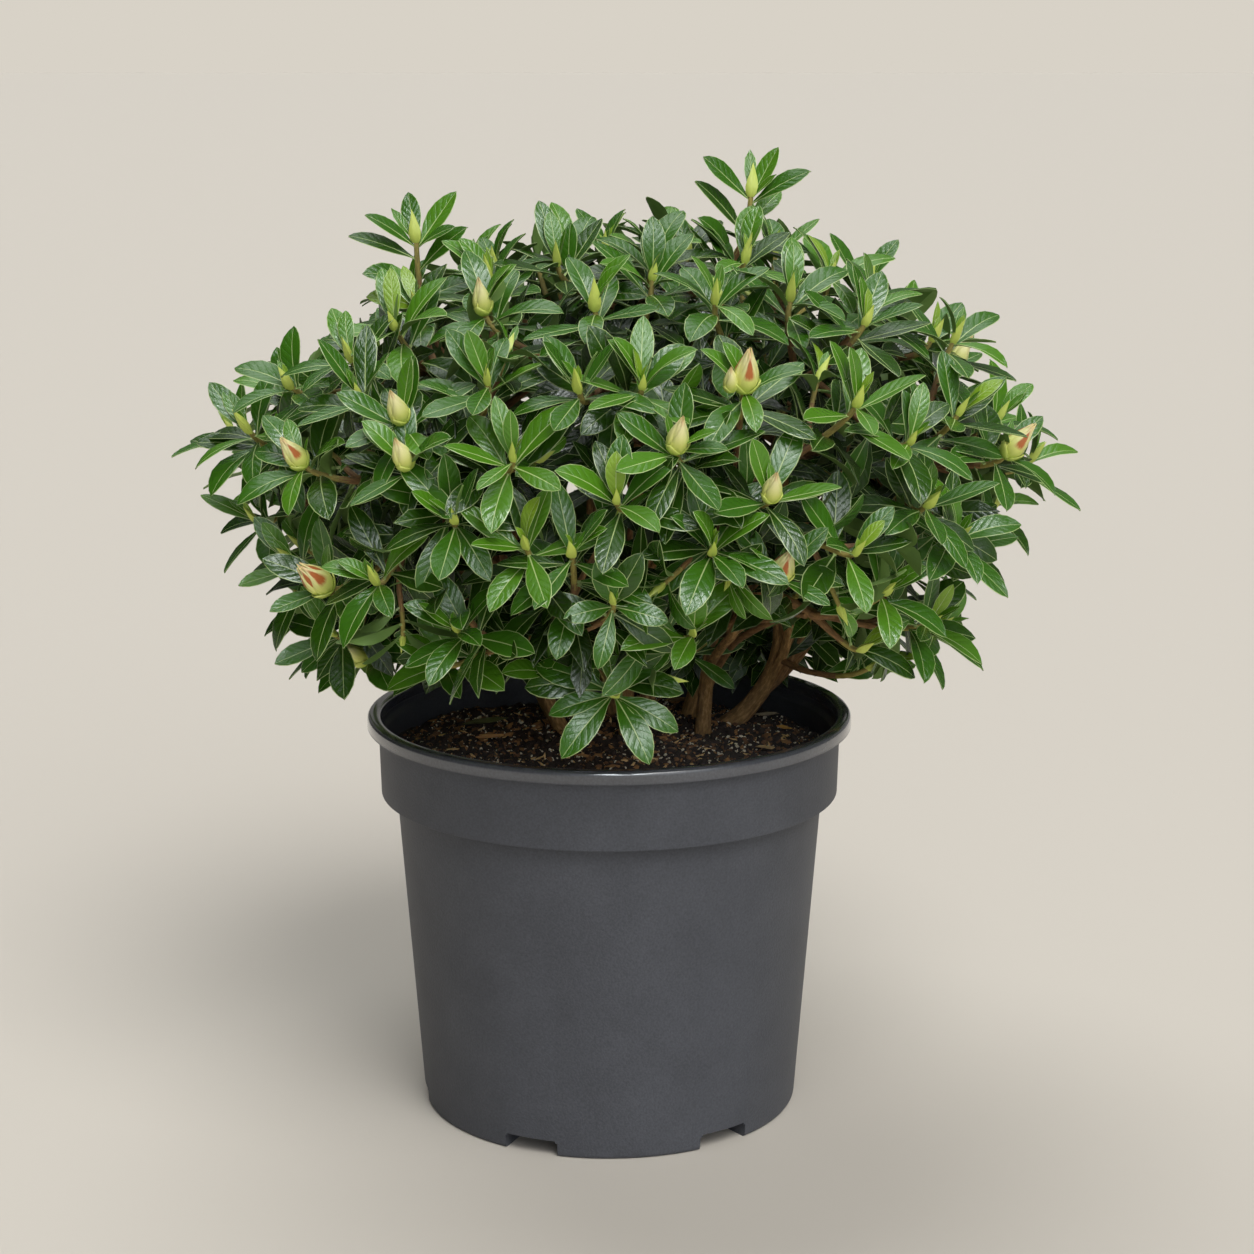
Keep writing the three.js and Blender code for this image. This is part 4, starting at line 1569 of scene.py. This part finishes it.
def limb_tree():
    """Lines with a girth, made round limbs with ridges of bark along them."""
    tree = Grower(
        "bark_limbs",
        {"Sides": "Int", "Relief": "Float", "Grain": "Float", "Finish": "Material"},
    )
    given = tree.given
    curve = tree.add("GeometryNodeMeshToCurve", {"Mesh": given["Geometry"]}).outputs[0]
    girth = tree.attribute("girth", "FLOAT")
    curve, length = tree.kept(
        curve, "Length", tree.add("GeometryNodeSplineParameter").outputs["Length"]
    )
    profile = tree.add(
        "GeometryNodeCurvePrimitiveCircle", {"Resolution": given["Sides"], "Radius": 1.0}
    ).outputs[0]
    profile, around = tree.kept(
        profile, "Around", tree.add("GeometryNodeSplineParameter").outputs["Factor"]
    )
    mesh = tree.add(
        "GeometryNodeCurveToMesh",
        {"Curve": curve, "Profile Curve": profile, "Scale": girth, "Fill Caps": True},
    ).outputs[0]
    turn = tree.math("MULTIPLY", around, 2 * math.pi)
    number = tree.attribute("limb", "FLOAT")
    place = tree.joined(
        tree.math("MULTIPLY", tree.math("COSINE", turn), girth),
        tree.math("MULTIPLY", tree.math("SINE", turn), girth),
        tree.math("MULTIPLY", length, 0.28),
    )
    place = tree.vector("ADD", place, tree.vector("SCALE", (0.031, 0.017, 0.043), scale=number))
    ridges = noise_at(tree, place, given["Grain"], 3.0, 0.6)
    lumps = noise_at(tree, place, tree.math("MULTIPLY", given["Grain"], 0.3), 2.0)
    height = tree.math("SUBTRACT", tree.math("ADD", ridges, lumps), 1.0)
    height = tree.math("MULTIPLY", tree.math("MULTIPLY", height, 2.0), given["Relief"])
    height = tree.math("MULTIPLY", height, girth)
    lift = tree.vector("SCALE", tree.add("GeometryNodeInputNormal").outputs[0], scale=height)
    mesh = tree.add("GeometryNodeSetPosition", {"Geometry": mesh, "Offset": lift}).outputs[0]
    mesh = tree.add(
        "GeometryNodeStoreNamedAttribute",
        {"Geometry": mesh, "Name": "bark_place", "Value": place},
        data_type="FLOAT_VECTOR",
        domain="POINT",
    ).outputs[0]
    mesh = tree.add("GeometryNodeSetShadeSmooth", {"Geometry": mesh}).outputs[0]
    tree.finish(mesh, [given["Finish"]])
    return tree


def line_object(name, lines):
    """Lines of (place, girth) points in millimetres, as edges that carry their girth."""
    places, edges, girths, numbers = [], [], [], []
    for number, line in enumerate(lines):
        first = len(places)
        for k, (place, girth) in enumerate(line):
            places.append(place * MM)
            girths.append(girth * MM)
            numbers.append(number)
            if k:
                edges.append((first + k - 1, first + k))
    mesh = bpy.data.meshes.new(name)
    mesh.from_pydata(places, edges, [])
    mesh.attributes.new("girth", "FLOAT", "POINT").data.foreach_set("value", girths)
    mesh.attributes.new("limb", "FLOAT", "POINT").data.foreach_set("value", numbers)
    return placed(mesh)


def limb_line(path, radius, steps, seed, wander, sink=0.0):
    """A limb's line, a little crooked between its ends, by the same draw each time."""
    noise.seed_set(SEED)
    line = []
    for k in range(steps + 1):
        share = k / steps
        free = math.sin(math.pi * share) ** 0.6 if 0 < k < steps else 0
        point = path.at(share)
        shift = noise.noise_vector(point * 0.03 + Vector((seed * 3.7, seed, 0)))
        line.append((point + shift * wander * free, radius(share)))
    if sink:
        line.insert(0, (line[0][0] - UP * sink, line[0][1] * 1.05))
    return line


def leaf_mesh(name, settings, wide, fold, rise, droop, twist, rows):
    """A closed leaf blade along +X with a grooved middle rib and a thin pale edge, its paleness
    partly the paler underside at the margin and partly painted rim glow.
    """
    length, width = settings.length, settings.width * wide
    thickness, rib = settings.thickness, settings.rib
    steps = 40
    middle = [Vector((0, 0))]
    for i in range(steps):
        share = (i + 0.5) / steps
        slope = math.radians(rise - (rise + droop) * share**1.3)
        middle.append(middle[-1] + Vector((math.cos(slope), math.sin(slope))) * length / steps)

    def half_width(share):
        stalk = 0.0008
        if share < 0.06:
            return stalk
        s = (share - 0.06) / 0.94
        blade = (s**1.15) * ((1 - s) ** 0.78) / 0.2715
        return max(stalk * (1 - s), blade * width / 2) + 0.0001

    def build(shape):
        uv = shape.loops.layers.uv.new(MAP_NAME)
        part = shape.faces.layers.int.new("part")
        rings = []
        for row, share in enumerate(rows):
            at = share * steps
            low = min(int(at), steps - 1)
            place = middle[low].lerp(middle[low + 1], at - low)
            half = half_width(share)
            narrow = min(rib / 2 * (1.2 - 0.95 * share), half * 0.5)
            inside = half - min(0.00036, half * 0.1)
            wave = 0.00022 * math.sin(share * 9 + twist)
            lift = math.tan(math.radians(fold)) * (1 - 0.4 * share)
            turn = math.radians(twist) * share
            profile = (
                (-half, lift * half - thickness * 0.5 + wave),
                (-inside, lift * inside + wave),
                (-narrow, lift * narrow - thickness * 0.35),
                (narrow, lift * narrow - thickness * 0.35),
                (inside, lift * inside - wave),
                (half, lift * half - thickness * 0.5 - wave),
                (0, -thickness * 2.1),
            )
            ring = []
            for y, z in profile:
                turned_y = y * math.cos(turn) - z * math.sin(turn)
                turned_z = y * math.sin(turn) + z * math.cos(turn)
                ring.append(shape.verts.new((place.x, turned_y, place.y + turned_z)))
            rings.append(ring)
        strips = ((0, 1, 3), (1, 2, 0), (2, 3, 1), (3, 4, 0), (4, 5, 3), (5, 6, 2), (6, 0, 2))
        across = (0.0, 0.015, 0.24, 0.26, 0.485, 0.5, 0.75)
        for row, (low, high) in enumerate(zip(rings, rings[1:])):
            for a, b, kind in strips:
                face = shape.faces.new((low[a], high[a], high[b], low[b]))
                face[part] = 1 if row == 0 else kind
                u_b = 1.0 if (a, b) == (6, 0) else across[b]
                places = (
                    (across[a], rows[row]),
                    (across[a], rows[row + 1]),
                    (u_b, rows[row + 1]),
                    (u_b, rows[row]),
                )
                for loop, (u, v) in zip(face.loops, places):
                    loop[uv].uv = (u, v)
                face.smooth = True
        for ring, ends in ((rings[0], 0.0), (rings[-1], 1.0)):
            face = shape.faces.new(ring)
            face[part] = 2
            for loop in face.loops:
                loop[uv].uv = (0.75, ends)
        bmesh.ops.recalc_face_normals(shape, faces=shape.faces)

    mesh = mesh_from(name, build)
    mesh.set_sharp_from_angle(angle=math.radians(34))
    return mesh


def leaf_bud_mesh(name, length, width, turns):
    """A slender pointed bud along +X, three scales wrapped round it edge over edge."""
    shares = (0.0, 0.12, 0.3, 0.5, 0.7, 0.87)
    widths = (0.5, 0.88, 1.0, 0.82, 0.5, 0.22)
    overlap = (1.16, 1.02, 0.84)
    shift = (0.3, 0, -0.3)
    sides = 9

    def build(shape):
        uv = shape.loops.layers.uv.new(MAP_NAME)
        rings = []
        for share, wide in zip(shares, widths):
            ring = []
            for k in range(sides):
                turn = 2 * math.pi * (k + shift[k % 3]) / sides + turns * share
                y, z = math.cos(turn), math.sin(turn)
                radius = width / 2 * wide * overlap[k % 3]
                ring.append(shape.verts.new((length * share, radius * y, radius * z)))
            rings.append(ring)
        tip = shape.verts.new((length, 0, 0))
        faces = [(shape.faces.new(rings[0]), [(k / sides, 0.0) for k in range(sides)])]
        for row, (low, high) in enumerate(zip(rings, rings[1:])):
            for k in range(sides):
                n = (k + 1) % sides
                face = shape.faces.new((low[k], high[k], high[n], low[n]))
                u0, u1 = k / sides, (k + 1) / sides
                v0, v1 = shares[row], shares[row + 1]
                faces.append((face, [(u0, v0), (u0, v1), (u1, v1), (u1, v0)]))
        for k in range(sides):
            n = (k + 1) % sides
            face = shape.faces.new((rings[-1][k], tip, rings[-1][n]))
            u0, half, u1 = k / sides, (k + 0.5) / sides, (k + 1) / sides
            faces.append((face, [(u0, 0.9), (half, 1.0), (u1, 0.9)]))
        for face, places in faces:
            face.smooth = True
            for loop, place in zip(face.loops, places):
                loop[uv].uv = place
        bmesh.ops.recalc_face_normals(shape, faces=shape.faces)

    mesh = mesh_from(name, build)
    mesh.set_sharp_from_angle(angle=math.radians(38))
    return mesh


def flower_bud_mesh(name, length, width, opening, stained, seed):
    """A pointed bud along +X: long petals wrapped in rows of overlapping scales.

    The map's left half is for plain scales and its right half for stained ones.
    """

    def girth(share):
        return width / 2 * math.sin(math.pi * clamp(share, 0.0, 1.0) ** 0.6) ** 1.16

    def spot(share, turn, extra):
        radius = girth(share) + extra
        return Vector((length * share, radius * math.cos(turn), radius * math.sin(turn)))

    def build(shape):
        uv = shape.loops.layers.uv.new(MAP_NAME)
        random = seeded(seed)

        def quad(corners, places):
            face = shape.faces.new(corners)
            face.smooth = True
            for loop, place in zip(face.loops, places):
                loop[uv].uv = place

        shares = [0.02, 0.1, 0.25, 0.42, 0.6, 0.76, 0.88, 0.96]
        sides = 10
        rings = [
            [shape.verts.new(spot(share, 2 * math.pi * k / sides, -0.0003)) for k in range(sides)]
            for share in shares
        ]
        for row, (low, high) in enumerate(zip(rings, rings[1:])):
            for k in range(sides):
                n = (k + 1) % sides
                u0, u1 = k / sides / 2, (k + 1) / sides / 2
                v0, v1 = shares[row], shares[row + 1]
                quad((low[k], high[k], high[n], low[n]), ((u0, v0), (u0, v1), (u1, v1), (u1, v0)))
        quad(rings[0], [(0.25, 0.0)] * sides)
        quad(rings[-1], [(0.25, 1.0)] * sides)
        rows = ((0.0, 0.36, 3, 0.001), (0.02, 0.96, 3, 0.0006), (0.1, 1.0, 3, 0.0001))
        for number, (start, stop, count, lift) in enumerate(rows):
            for k in range(count):
                turn = math.pi / 2 + 0.35 + 2 * math.pi * (k + 0.5 * (number % 2 + 1)) / count
                turn += 0.2 * (random() - 0.5)
                spread = math.pi / count * 1.28
                end = stop * (0.98 + 0.02 * random())
                left = 0.5 if stained and number == 1 or stained > 1 and number == 2 else 0.0
                grid_out, grid_in = [], []
                for i in range(7):
                    t = i / 6
                    share = lerp(start, end, t)
                    across = spread * (1 - t**1.9) ** 0.95 + 0.02
                    flare = opening * 0.0011 * t**3 - lift * 0.85 * t * t * (stop > 0.5)
                    line_out, line_in = [], []
                    for j in range(5):
                        side = turn + (j / 4 * 2 - 1) * across
                        keel = 0.0003 * (1 - abs(j / 2 - 1))
                        line_out.append(shape.verts.new(spot(share, side, lift + keel + flare)))
                        line_in.append(shape.verts.new(spot(share, side, lift - 0.00025 + flare)))
                    grid_out.append(line_out)
                    grid_in.append(line_in)
                foot = 0.35 if number == 0 else 1.0
                for i in range(6):
                    for j in range(4):
                        around = ((i, j), (i, j + 1), (i + 1, j + 1), (i + 1, j))
                        for grid, corners in (
                            (grid_out, around),
                            (grid_in, around[:1] + around[:0:-1]),
                        ):
                            places = [(left + b / 8, a / 6 * foot) for a, b in corners]
                            quad([grid[a][b] for a, b in corners], places)
                rims = []
                for grid in (grid_out, grid_in):
                    rims.append(
                        [line[0] for line in grid]
                        + grid[-1][1:]
                        + [line[-1] for line in grid[-2::-1]]
                        + grid[0][-2:0:-1]
                    )
                outer, inner = rims
                for i in range(len(outer)):
                    n = (i + 1) % len(outer)
                    places = [(0.1, 0.5 * foot)] * 4
                    quad((outer[i], outer[n], inner[n], inner[i]), places)
        bmesh.ops.recalc_face_normals(shape, faces=shape.faces)

    return mesh_from(name, build)


def spray_tree(parts):
    """Shapes set on points, along each point's direction and with its upper side up."""
    inputs = {"Shapes": "Collection", "Jitter": "Float", "Seed": "Int"}
    for number in range(parts):
        inputs[f"Finish {number + 1}"] = "Material"
    tree = Grower(f"spray_{parts}", inputs)
    given = tree.given
    facing = tree.add(
        "FunctionNodeAxesToRotation",
        {
            "Primary Axis": tree.attribute("direction", "FLOAT_VECTOR"),
            "Secondary Axis": tree.attribute("upper", "FLOAT_VECTOR"),
        },
        primary_axis="X",
        secondary_axis="Z",
    ).outputs[0]
    most = given["Jitter"]
    least = tree.math("MULTIPLY", most, -1.0)
    wobble = tree.random_vector(tree.joined(least, least, least), tree.joined(most, most, most))
    turned = tree.add(
        "FunctionNodeRotateRotation",
        {"Rotation": facing, "Rotate By": wobble},
        rotation_space="LOCAL",
    ).outputs[0]
    sprays = tree.shape_on_points(
        given["Geometry"], tree.attribute("shape", "INT"), turned, tree.attribute("size", "FLOAT")
    )
    tree.finish(sprays, [given[f"Finish {number + 1}"] for number in range(parts)])
    return tree


def points_object(name, points):
    """Points in millimetres that carry how each shape is set on them."""
    mesh = bpy.data.meshes.new(name)
    mesh.from_pydata([point.place * MM for point in points], [], [])
    for key in ("direction", "upper"):
        values = [part for point in points for part in getattr(point, key)]
        mesh.attributes.new(key, "FLOAT_VECTOR", "POINT").data.foreach_set("vector", values)
    sizes = mesh.attributes.new("size", "FLOAT", "POINT")
    sizes.data.foreach_set("value", [point.size for point in points])
    shapes = mesh.attributes.new("shape", "INT", "POINT")
    shapes.data.foreach_set("value", [point.shape for point in points])
    return placed(mesh)


class AZALEA_OT_pot(bpy.types.Operator):
    """Turn the nursery pot and cut its drainage channels"""

    bl_idname = "azalea.pot"
    bl_label = "Pot"

    def execute(self, context):
        settings = context.scene.azalea_pot
        pot = placed(pot_mesh(settings))
        bars = placed(drain_cutter())
        cut = pot.modifiers.new("Channels", "BOOLEAN")
        cut.object = bars
        cut.operation = "DIFFERENCE"
        cut.solver = "EXACT"
        piece = plain(pot, "pot_shell")
        bpy.data.objects.remove(bars)
        smooth_by_angle(piece.data, 32)
        piece.data.materials.clear()
        piece.data.materials.append(plastic_material(settings))
        belongs(piece, ["pot"])
        return {"FINISHED"}


class AZALEA_OT_compost(bpy.types.Operator):
    """Fill the pot with compost and scatter crumbs, chips and specks on it"""

    bl_idname = "azalea.compost"
    bl_label = "Compost"

    def execute(self, context):
        settings = context.scene.azalea_compost
        plug = placed(compost_mesh(settings))
        smooth_by_angle(plug.data, 60)
        plug.data.materials.append(peat_material(settings))
        belongs(plug, ["soil"])
        tree = scatter_tree()
        for number, (name, colour, squeeze, density, least, most, tilt) in enumerate(CRUMBS):
            meshes = [chunk_mesh(f"{name}_{k}", number * 5 + k, squeeze, 1) for k in range(5)]
            shapes = shapes_collection(name, meshes)
            bed = placed(plug.data.copy())
            values = {
                "Shapes": shapes,
                "Per Area": float(density),
                "Least": least,
                "Most": most,
                "Sink": 0.0003,
                "Tilt": tilt,
                "Reach": (POT.ledge_radius - 5) * MM,
                "Seed": 11 + number,
                "Finish": crumb_material(f"compost_{name}", linear(colour)),
            }
            piece = tree.run(bed, f"compost_{name}", values)
            forget(shapes)
            belongs(piece, ["soil"])
        for number, (name, colour, place, length, thick, turn) in enumerate(STICKS):
            mesh = chunk_mesh(name, 40 + number, Vector((length, thick, thick * 0.7)) * MM, 3)
            turned = Matrix.Rotation(math.radians(turn), 4, "Z")
            mesh.transform(Matrix.Translation(Vector(place) * MM) @ turned)
            mesh.materials.append(crumb_material(f"compost_{name}", linear(colour), 0.8))
            smooth_by_angle(mesh, 50)
            belongs(placed(mesh), ["soil"])
        return {"FINISHED"}


class AZALEA_OT_stems(bpy.types.Operator):
    """Grow the stems and boughs with the relief of their bark"""

    bl_idname = "azalea.stems"
    bl_label = "Stems and boughs"

    def execute(self, context):
        settings = context.scene.azalea_wood
        plant = grown()
        lines = []
        for number, limb in enumerate(plant.limbs):
            steps = max(24, int(limb.path.length / 2.6))
            rooted = abs(limb.path.points[0].z - SOIL.height) < 1
            lines.append(
                limb_line(limb.path, limb.radius, steps, number, 3.2, 8.0 if rooted else 0.0)
            )
        tree = limb_tree()
        values = {
            "Sides": settings.sides,
            "Relief": settings.relief,
            "Grain": 420.0,
            "Finish": bark_material("bark_old", settings.bark, settings.bark_highlight, 620.0, 0.0007),
        }
        piece = tree.run(line_object("stem_lines", lines), "stems_and_boughs", values)
        belongs(piece, nodes_of("stem_", "bough_"))
        return {"FINISHED"}


class AZALEA_OT_twigs(bpy.types.Operator):
    """Branch the twigs from their boughs, woody below and soft towards the leaves"""

    bl_idname = "azalea.twigs"
    bl_label = "Twigs"

    def execute(self, context):
        settings = context.scene.azalea_wood
        plant = grown()
        woody, soft = [], []
        for paths, limb, steps, wander in (
            (plant.spines, MASS_STEM, 16, 1.0),
            (plant.whips, WHIP, 26, 4.0),
        ):
            radius = taper(limb.root_radius, limb.tip_radius)
            woody += [limb_line(path, radius, steps, k, wander) for k, path in enumerate(paths)]
        for number, twig in enumerate(plant.twigs):
            radius = taper(TWIG.root_radius, TWIG.tip_radius, twig.thick)
            line = limb_line(twig.path, radius, 14, number, 1.6)
            woody.append(line[:11])
            soft.append(line[9:])
        tree = limb_tree()
        foliage = nodes_of("foliage_")
        kinds = (
            ("twigs_woody", woody, settings.twig, shaded(settings.twig, 1.6), 8, 0.1),
            ("twigs_soft", soft, settings.shoot, shaded(settings.shoot, 1.3), 7, 0.03),
        )
        for name, lines, dark, light, sides, relief in kinds:
            values = {
                "Sides": sides,
                "Relief": relief,
                "Grain": 900.0,
                "Finish": bark_material(name + "_skin", dark, light, 900.0, 0.0003),
            }
            piece = tree.run(line_object(name + "_lines", lines), name, values)
            belongs(piece, foliage)
        return {"FINISHED"}


class AZALEA_OT_leaves(bpy.types.Operator):
    """Set every leaf on its twig, spray by spray, each tint in a piece of its own"""

    bl_idname = "azalea.leaves"
    bl_label = "Leaves"

    def execute(self, context):
        settings = context.scene.azalea_leaf
        plant = grown()
        tree = spray_tree(4)
        foliage = nodes_of("foliage_")
        shapes = {}
        for kind, (rows, bends) in LEAF_SHAPES.items():
            meshes = [
                leaf_mesh(f"{kind}_{k}", settings, *bend, rows) for k, bend in enumerate(bends)
            ]
            shapes[kind] = shapes_collection(f"{kind}_shapes", meshes)
        counts = {kind: len(items.objects) for kind, items in shapes.items()}
        tints = {
            "deep": settings.deep,
            "green": settings.green,
            "fresh": settings.fresh,
            "young": settings.young,
            "shade": settings.shade,
        }
        finishes = {}
        for tint, colour in tints.items():
            # For the shade tint the rib and underside are darkened copies, painted shade for leaves
            # inside the crown.
            rib = settings.rib_colour if tint != "shade" else shaded(settings.rib_colour, 0.5)
            under = settings.under if tint != "shade" else shaded(settings.under, 0.5)
            if tint in ("young", "fresh"):
                rib = shaded(rib, 1.15)
            # The pale edge is partly the paler underside showing at the margin and partly a painted
            # rim glow of light caught along it; the shade tint keeps less of it, as painted shade.
            rim_glow_share = 0.3 if tint == "shade" else 0.85
            edge = [lerp(part, pale, rim_glow_share) for part, pale in zip(colour, rib)]
            finishes[tint] = (
                blade_material(f"blade_{tint}", colour, settings.gloss),
                soft_material(f"rib_{tint}", rib, 0.5),
                soft_material(f"underside_{tint}", under, 0.6),
                soft_material(f"edge_{tint}", edge, 0.4),
            )
        groups = {}
        for number, item in enumerate(plant.leaves):
            item.place = item.root
            item.shape = (number * 7 + number // 5) % counts[item.kind]
            groups.setdefault((item.kind, item.tint), []).append(item)
        for (kind, tint), points in sorted(groups.items()):
            values = {"Shapes": shapes[kind], "Jitter": 0.09, "Seed": 5}
            for number, finish in enumerate(finishes[tint]):
                values[f"Finish {number + 1}"] = finish
            name = f"leaves_{kind}_{tint}"
            piece = tree.run(points_object(name + "_points", points), name, values)
            belongs(piece, foliage)
        for items in shapes.values():
            forget(items)
        return {"FINISHED"}


class AZALEA_OT_buds(bpy.types.Operator):
    """Tip every shoot with its leaf bud or its flower bud"""

    bl_idname = "azalea.buds"
    bl_label = "Buds"

    def bloom(self, number, bud):
        front = FRONT + UP * 0.3
        return SimpleNamespace(
            place=bud.place - bud.axis * 1.5,
            direction=bud.axis,
            upper=(front - bud.axis * front.dot(bud.axis)).normalized(),
            size=0.96 + 0.02 * (number % 9),
            shape=FLOWER_BUDS[bud.bears],
        )

    def second_bloom(self, first):
        """The smaller bud that stands at the left of a pair."""
        second = SimpleNamespace(**vars(first))
        second.place = first.place + Vector((-6.5, -3, 0)) + first.direction * 1.0
        second.direction = (first.direction + Vector((-0.12, -0.1, 0))).normalized()
        second.size = 0.72
        second.shape = 0
        return second

    def tip(self, number, bud):
        full = bud.bears in ("bud", "spire")
        return SimpleNamespace(
            place=bud.place - bud.axis * 1.0,
            direction=bud.axis,
            upper=aside_of(bud.axis),
            size=1.0 if full else (0.6 + 0.05 * (number % 6)) * bud.share,
            shape=number % 2,
        )

    def execute(self, context):
        settings = context.scene.azalea_bud
        foliage = nodes_of("foliage_")
        tips, blooms = [], []
        for number, bud in enumerate(grown().buds):
            if bud.bears in FLOWER_BUDS:
                blooms.append(self.bloom(number, bud))
                if bud.bears == "flower_pair":
                    blooms.append(self.second_bloom(blooms[-1]))
            else:
                tips.append(self.tip(number, bud))
        long, wide = settings.length, settings.width
        kinds = (
            (
                "leaf_bud",
                tips,
                [
                    leaf_bud_mesh("leaf_bud_0", 0.0178, 0.0064, 0.8),
                    leaf_bud_mesh("leaf_bud_1", 0.02, 0.0058, -0.6),
                ],
                soft_material("leaf_bud", settings.tip, 0.5, 0.0004),
                (0.12, 8),
            ),
            (
                "flower_bud",
                blooms,
                [
                    flower_bud_mesh("flower_bud_0", long * 0.92, wide * 0.92, 0, 0, 3),
                    flower_bud_mesh("flower_bud_1", long, wide * 1.08, 0.3, 1, 4),
                    flower_bud_mesh("flower_bud_2", long * 1.12, wide * 1.2, 0.8, 2, 5),
                ],
                bud_scale_material(settings),
                (0.08, 9),
            ),
        )
        tree = spray_tree(1)
        for name, points, meshes, finish, (jitter, seed) in kinds:
            shapes = shapes_collection(name + "_shapes", meshes)
            values = {"Shapes": shapes, "Jitter": jitter, "Seed": seed, "Finish 1": finish}
            piece = tree.run(points_object(name + "_points", points), name + "s", values)
            belongs(piece, foliage)
            forget(shapes)
        return {"FINISHED"}


class AZALEA_OT_stage(bpy.types.Operator):
    """Set the plain floor, the soft studio light and the camera"""

    bl_idname = "azalea.stage"
    bl_label = "Stage"

    def lamp(self, name, way, power, angle, colour, only_sheen):
        light = bpy.data.lights.new(name, "SUN")
        light.energy = power
        light.angle = math.radians(angle)
        light.color = colour
        lamp = bpy.data.objects.new(name, light)
        lamp.rotation_euler = Vector(way).to_track_quat("Z", "Y").to_euler()
        lamp.visible_diffuse = not only_sheen
        bpy.context.scene.collection.objects.link(lamp)

    def execute(self, context):
        settings = context.scene.azalea_stage
        scene = context.scene

        def build(shape):
            bmesh.ops.create_grid(shape, x_segments=4, y_segments=4, size=60)

        floor = placed(mesh_from("studio_floor", build))
        floor.data.materials.append(surface("floor_plain", settings.floor, 0.9)[0])
        world = bpy.data.worlds.new("soft_surroundings")
        world.use_nodes = True
        scene.world = world
        nodes = Nodes(world.node_tree)
        place = nodes.add("ShaderNodeTexCoord").outputs["Generated"]
        total = None
        for way, width, strength, colour in SOFT_LIGHTS:
            ends = {0: place, 1: Vector(way).normalized()}
            near = nodes.add("ShaderNodeVectorMath", ends, operation="DOT_PRODUCT")
            glow = nodes.math("MAXIMUM", near.outputs["Value"], 0.0)
            glow = nodes.math("POWER", glow, width)
            light = nodes.vector("SCALE", Vector(colour) * strength, scale=glow)
            total = nodes.vector("ADD", total, light) if total else light
        seen = nodes.add("ShaderNodeLightPath").outputs["Is Camera Ray"]
        shown = nodes.add(
            "ShaderNodeMix", {"Factor": seen, 6: total, 7: (*settings.wall, 1)}, data_type="RGBA"
        ).outputs[2]
        background = world.node_tree.nodes["Background"]
        background.inputs[1].default_value = 1.0
        nodes.link(shown, background.inputs[0])
        for row in LAMPS:
            self.lamp(*row)
        view = bpy.data.cameras.new("photo_view")
        view.sensor_width = CAMERA.sensor
        view.lens = settings.focal
        view.clip_end = CAMERA.far
        camera = bpy.data.objects.new("photo_view", view)
        camera.location = CAMERA.place
        camera.rotation_euler = (math.pi / 2 - CAMERA.tilt_down, 0, 0)
        scene.collection.objects.link(camera)
        scene.camera = camera
        scene.view_settings.view_transform = "Standard"
        return {"FINISHED"}


STEPS = (
    AZALEA_OT_pot,
    AZALEA_OT_compost,
    AZALEA_OT_stems,
    AZALEA_OT_twigs,
    AZALEA_OT_leaves,
    AZALEA_OT_buds,
    AZALEA_OT_stage,
)


class AZALEA_PT_panel(bpy.types.Panel):
    """Lists the steps that build the shrub"""

    bl_idname = "AZALEA_PT_panel"
    bl_label = "Potted azalea"
    bl_space_type = "VIEW_3D"
    bl_region_type = "UI"
    bl_category = "Azalea"

    def draw(self, context):
        for step in STEPS:
            self.layout.operator(step.bl_idname)


SETTINGS = {
    "azalea_pot": PotSettings,
    "azalea_compost": CompostSettings,
    "azalea_wood": WoodSettings,
    "azalea_leaf": LeafSettings,
    "azalea_bud": BudSettings,
    "azalea_stage": StageSettings,
}
CLASSES = (*SETTINGS.values(), *STEPS, AZALEA_PT_panel)


def register():
    for item in CLASSES:
        bpy.utils.register_class(item)
    for name, group in SETTINGS.items():
        setattr(bpy.types.Scene, name, PointerProperty(type=group))


def unregister():
    for name in SETTINGS:
        delattr(bpy.types.Scene, name)
    for item in reversed(CLASSES):
        bpy.utils.unregister_class(item)


def main():
    register()
    for step in STEPS:
        getattr(bpy.ops.azalea, step.bl_idname.split(".")[1])()


if __name__ == "__main__":
    main()
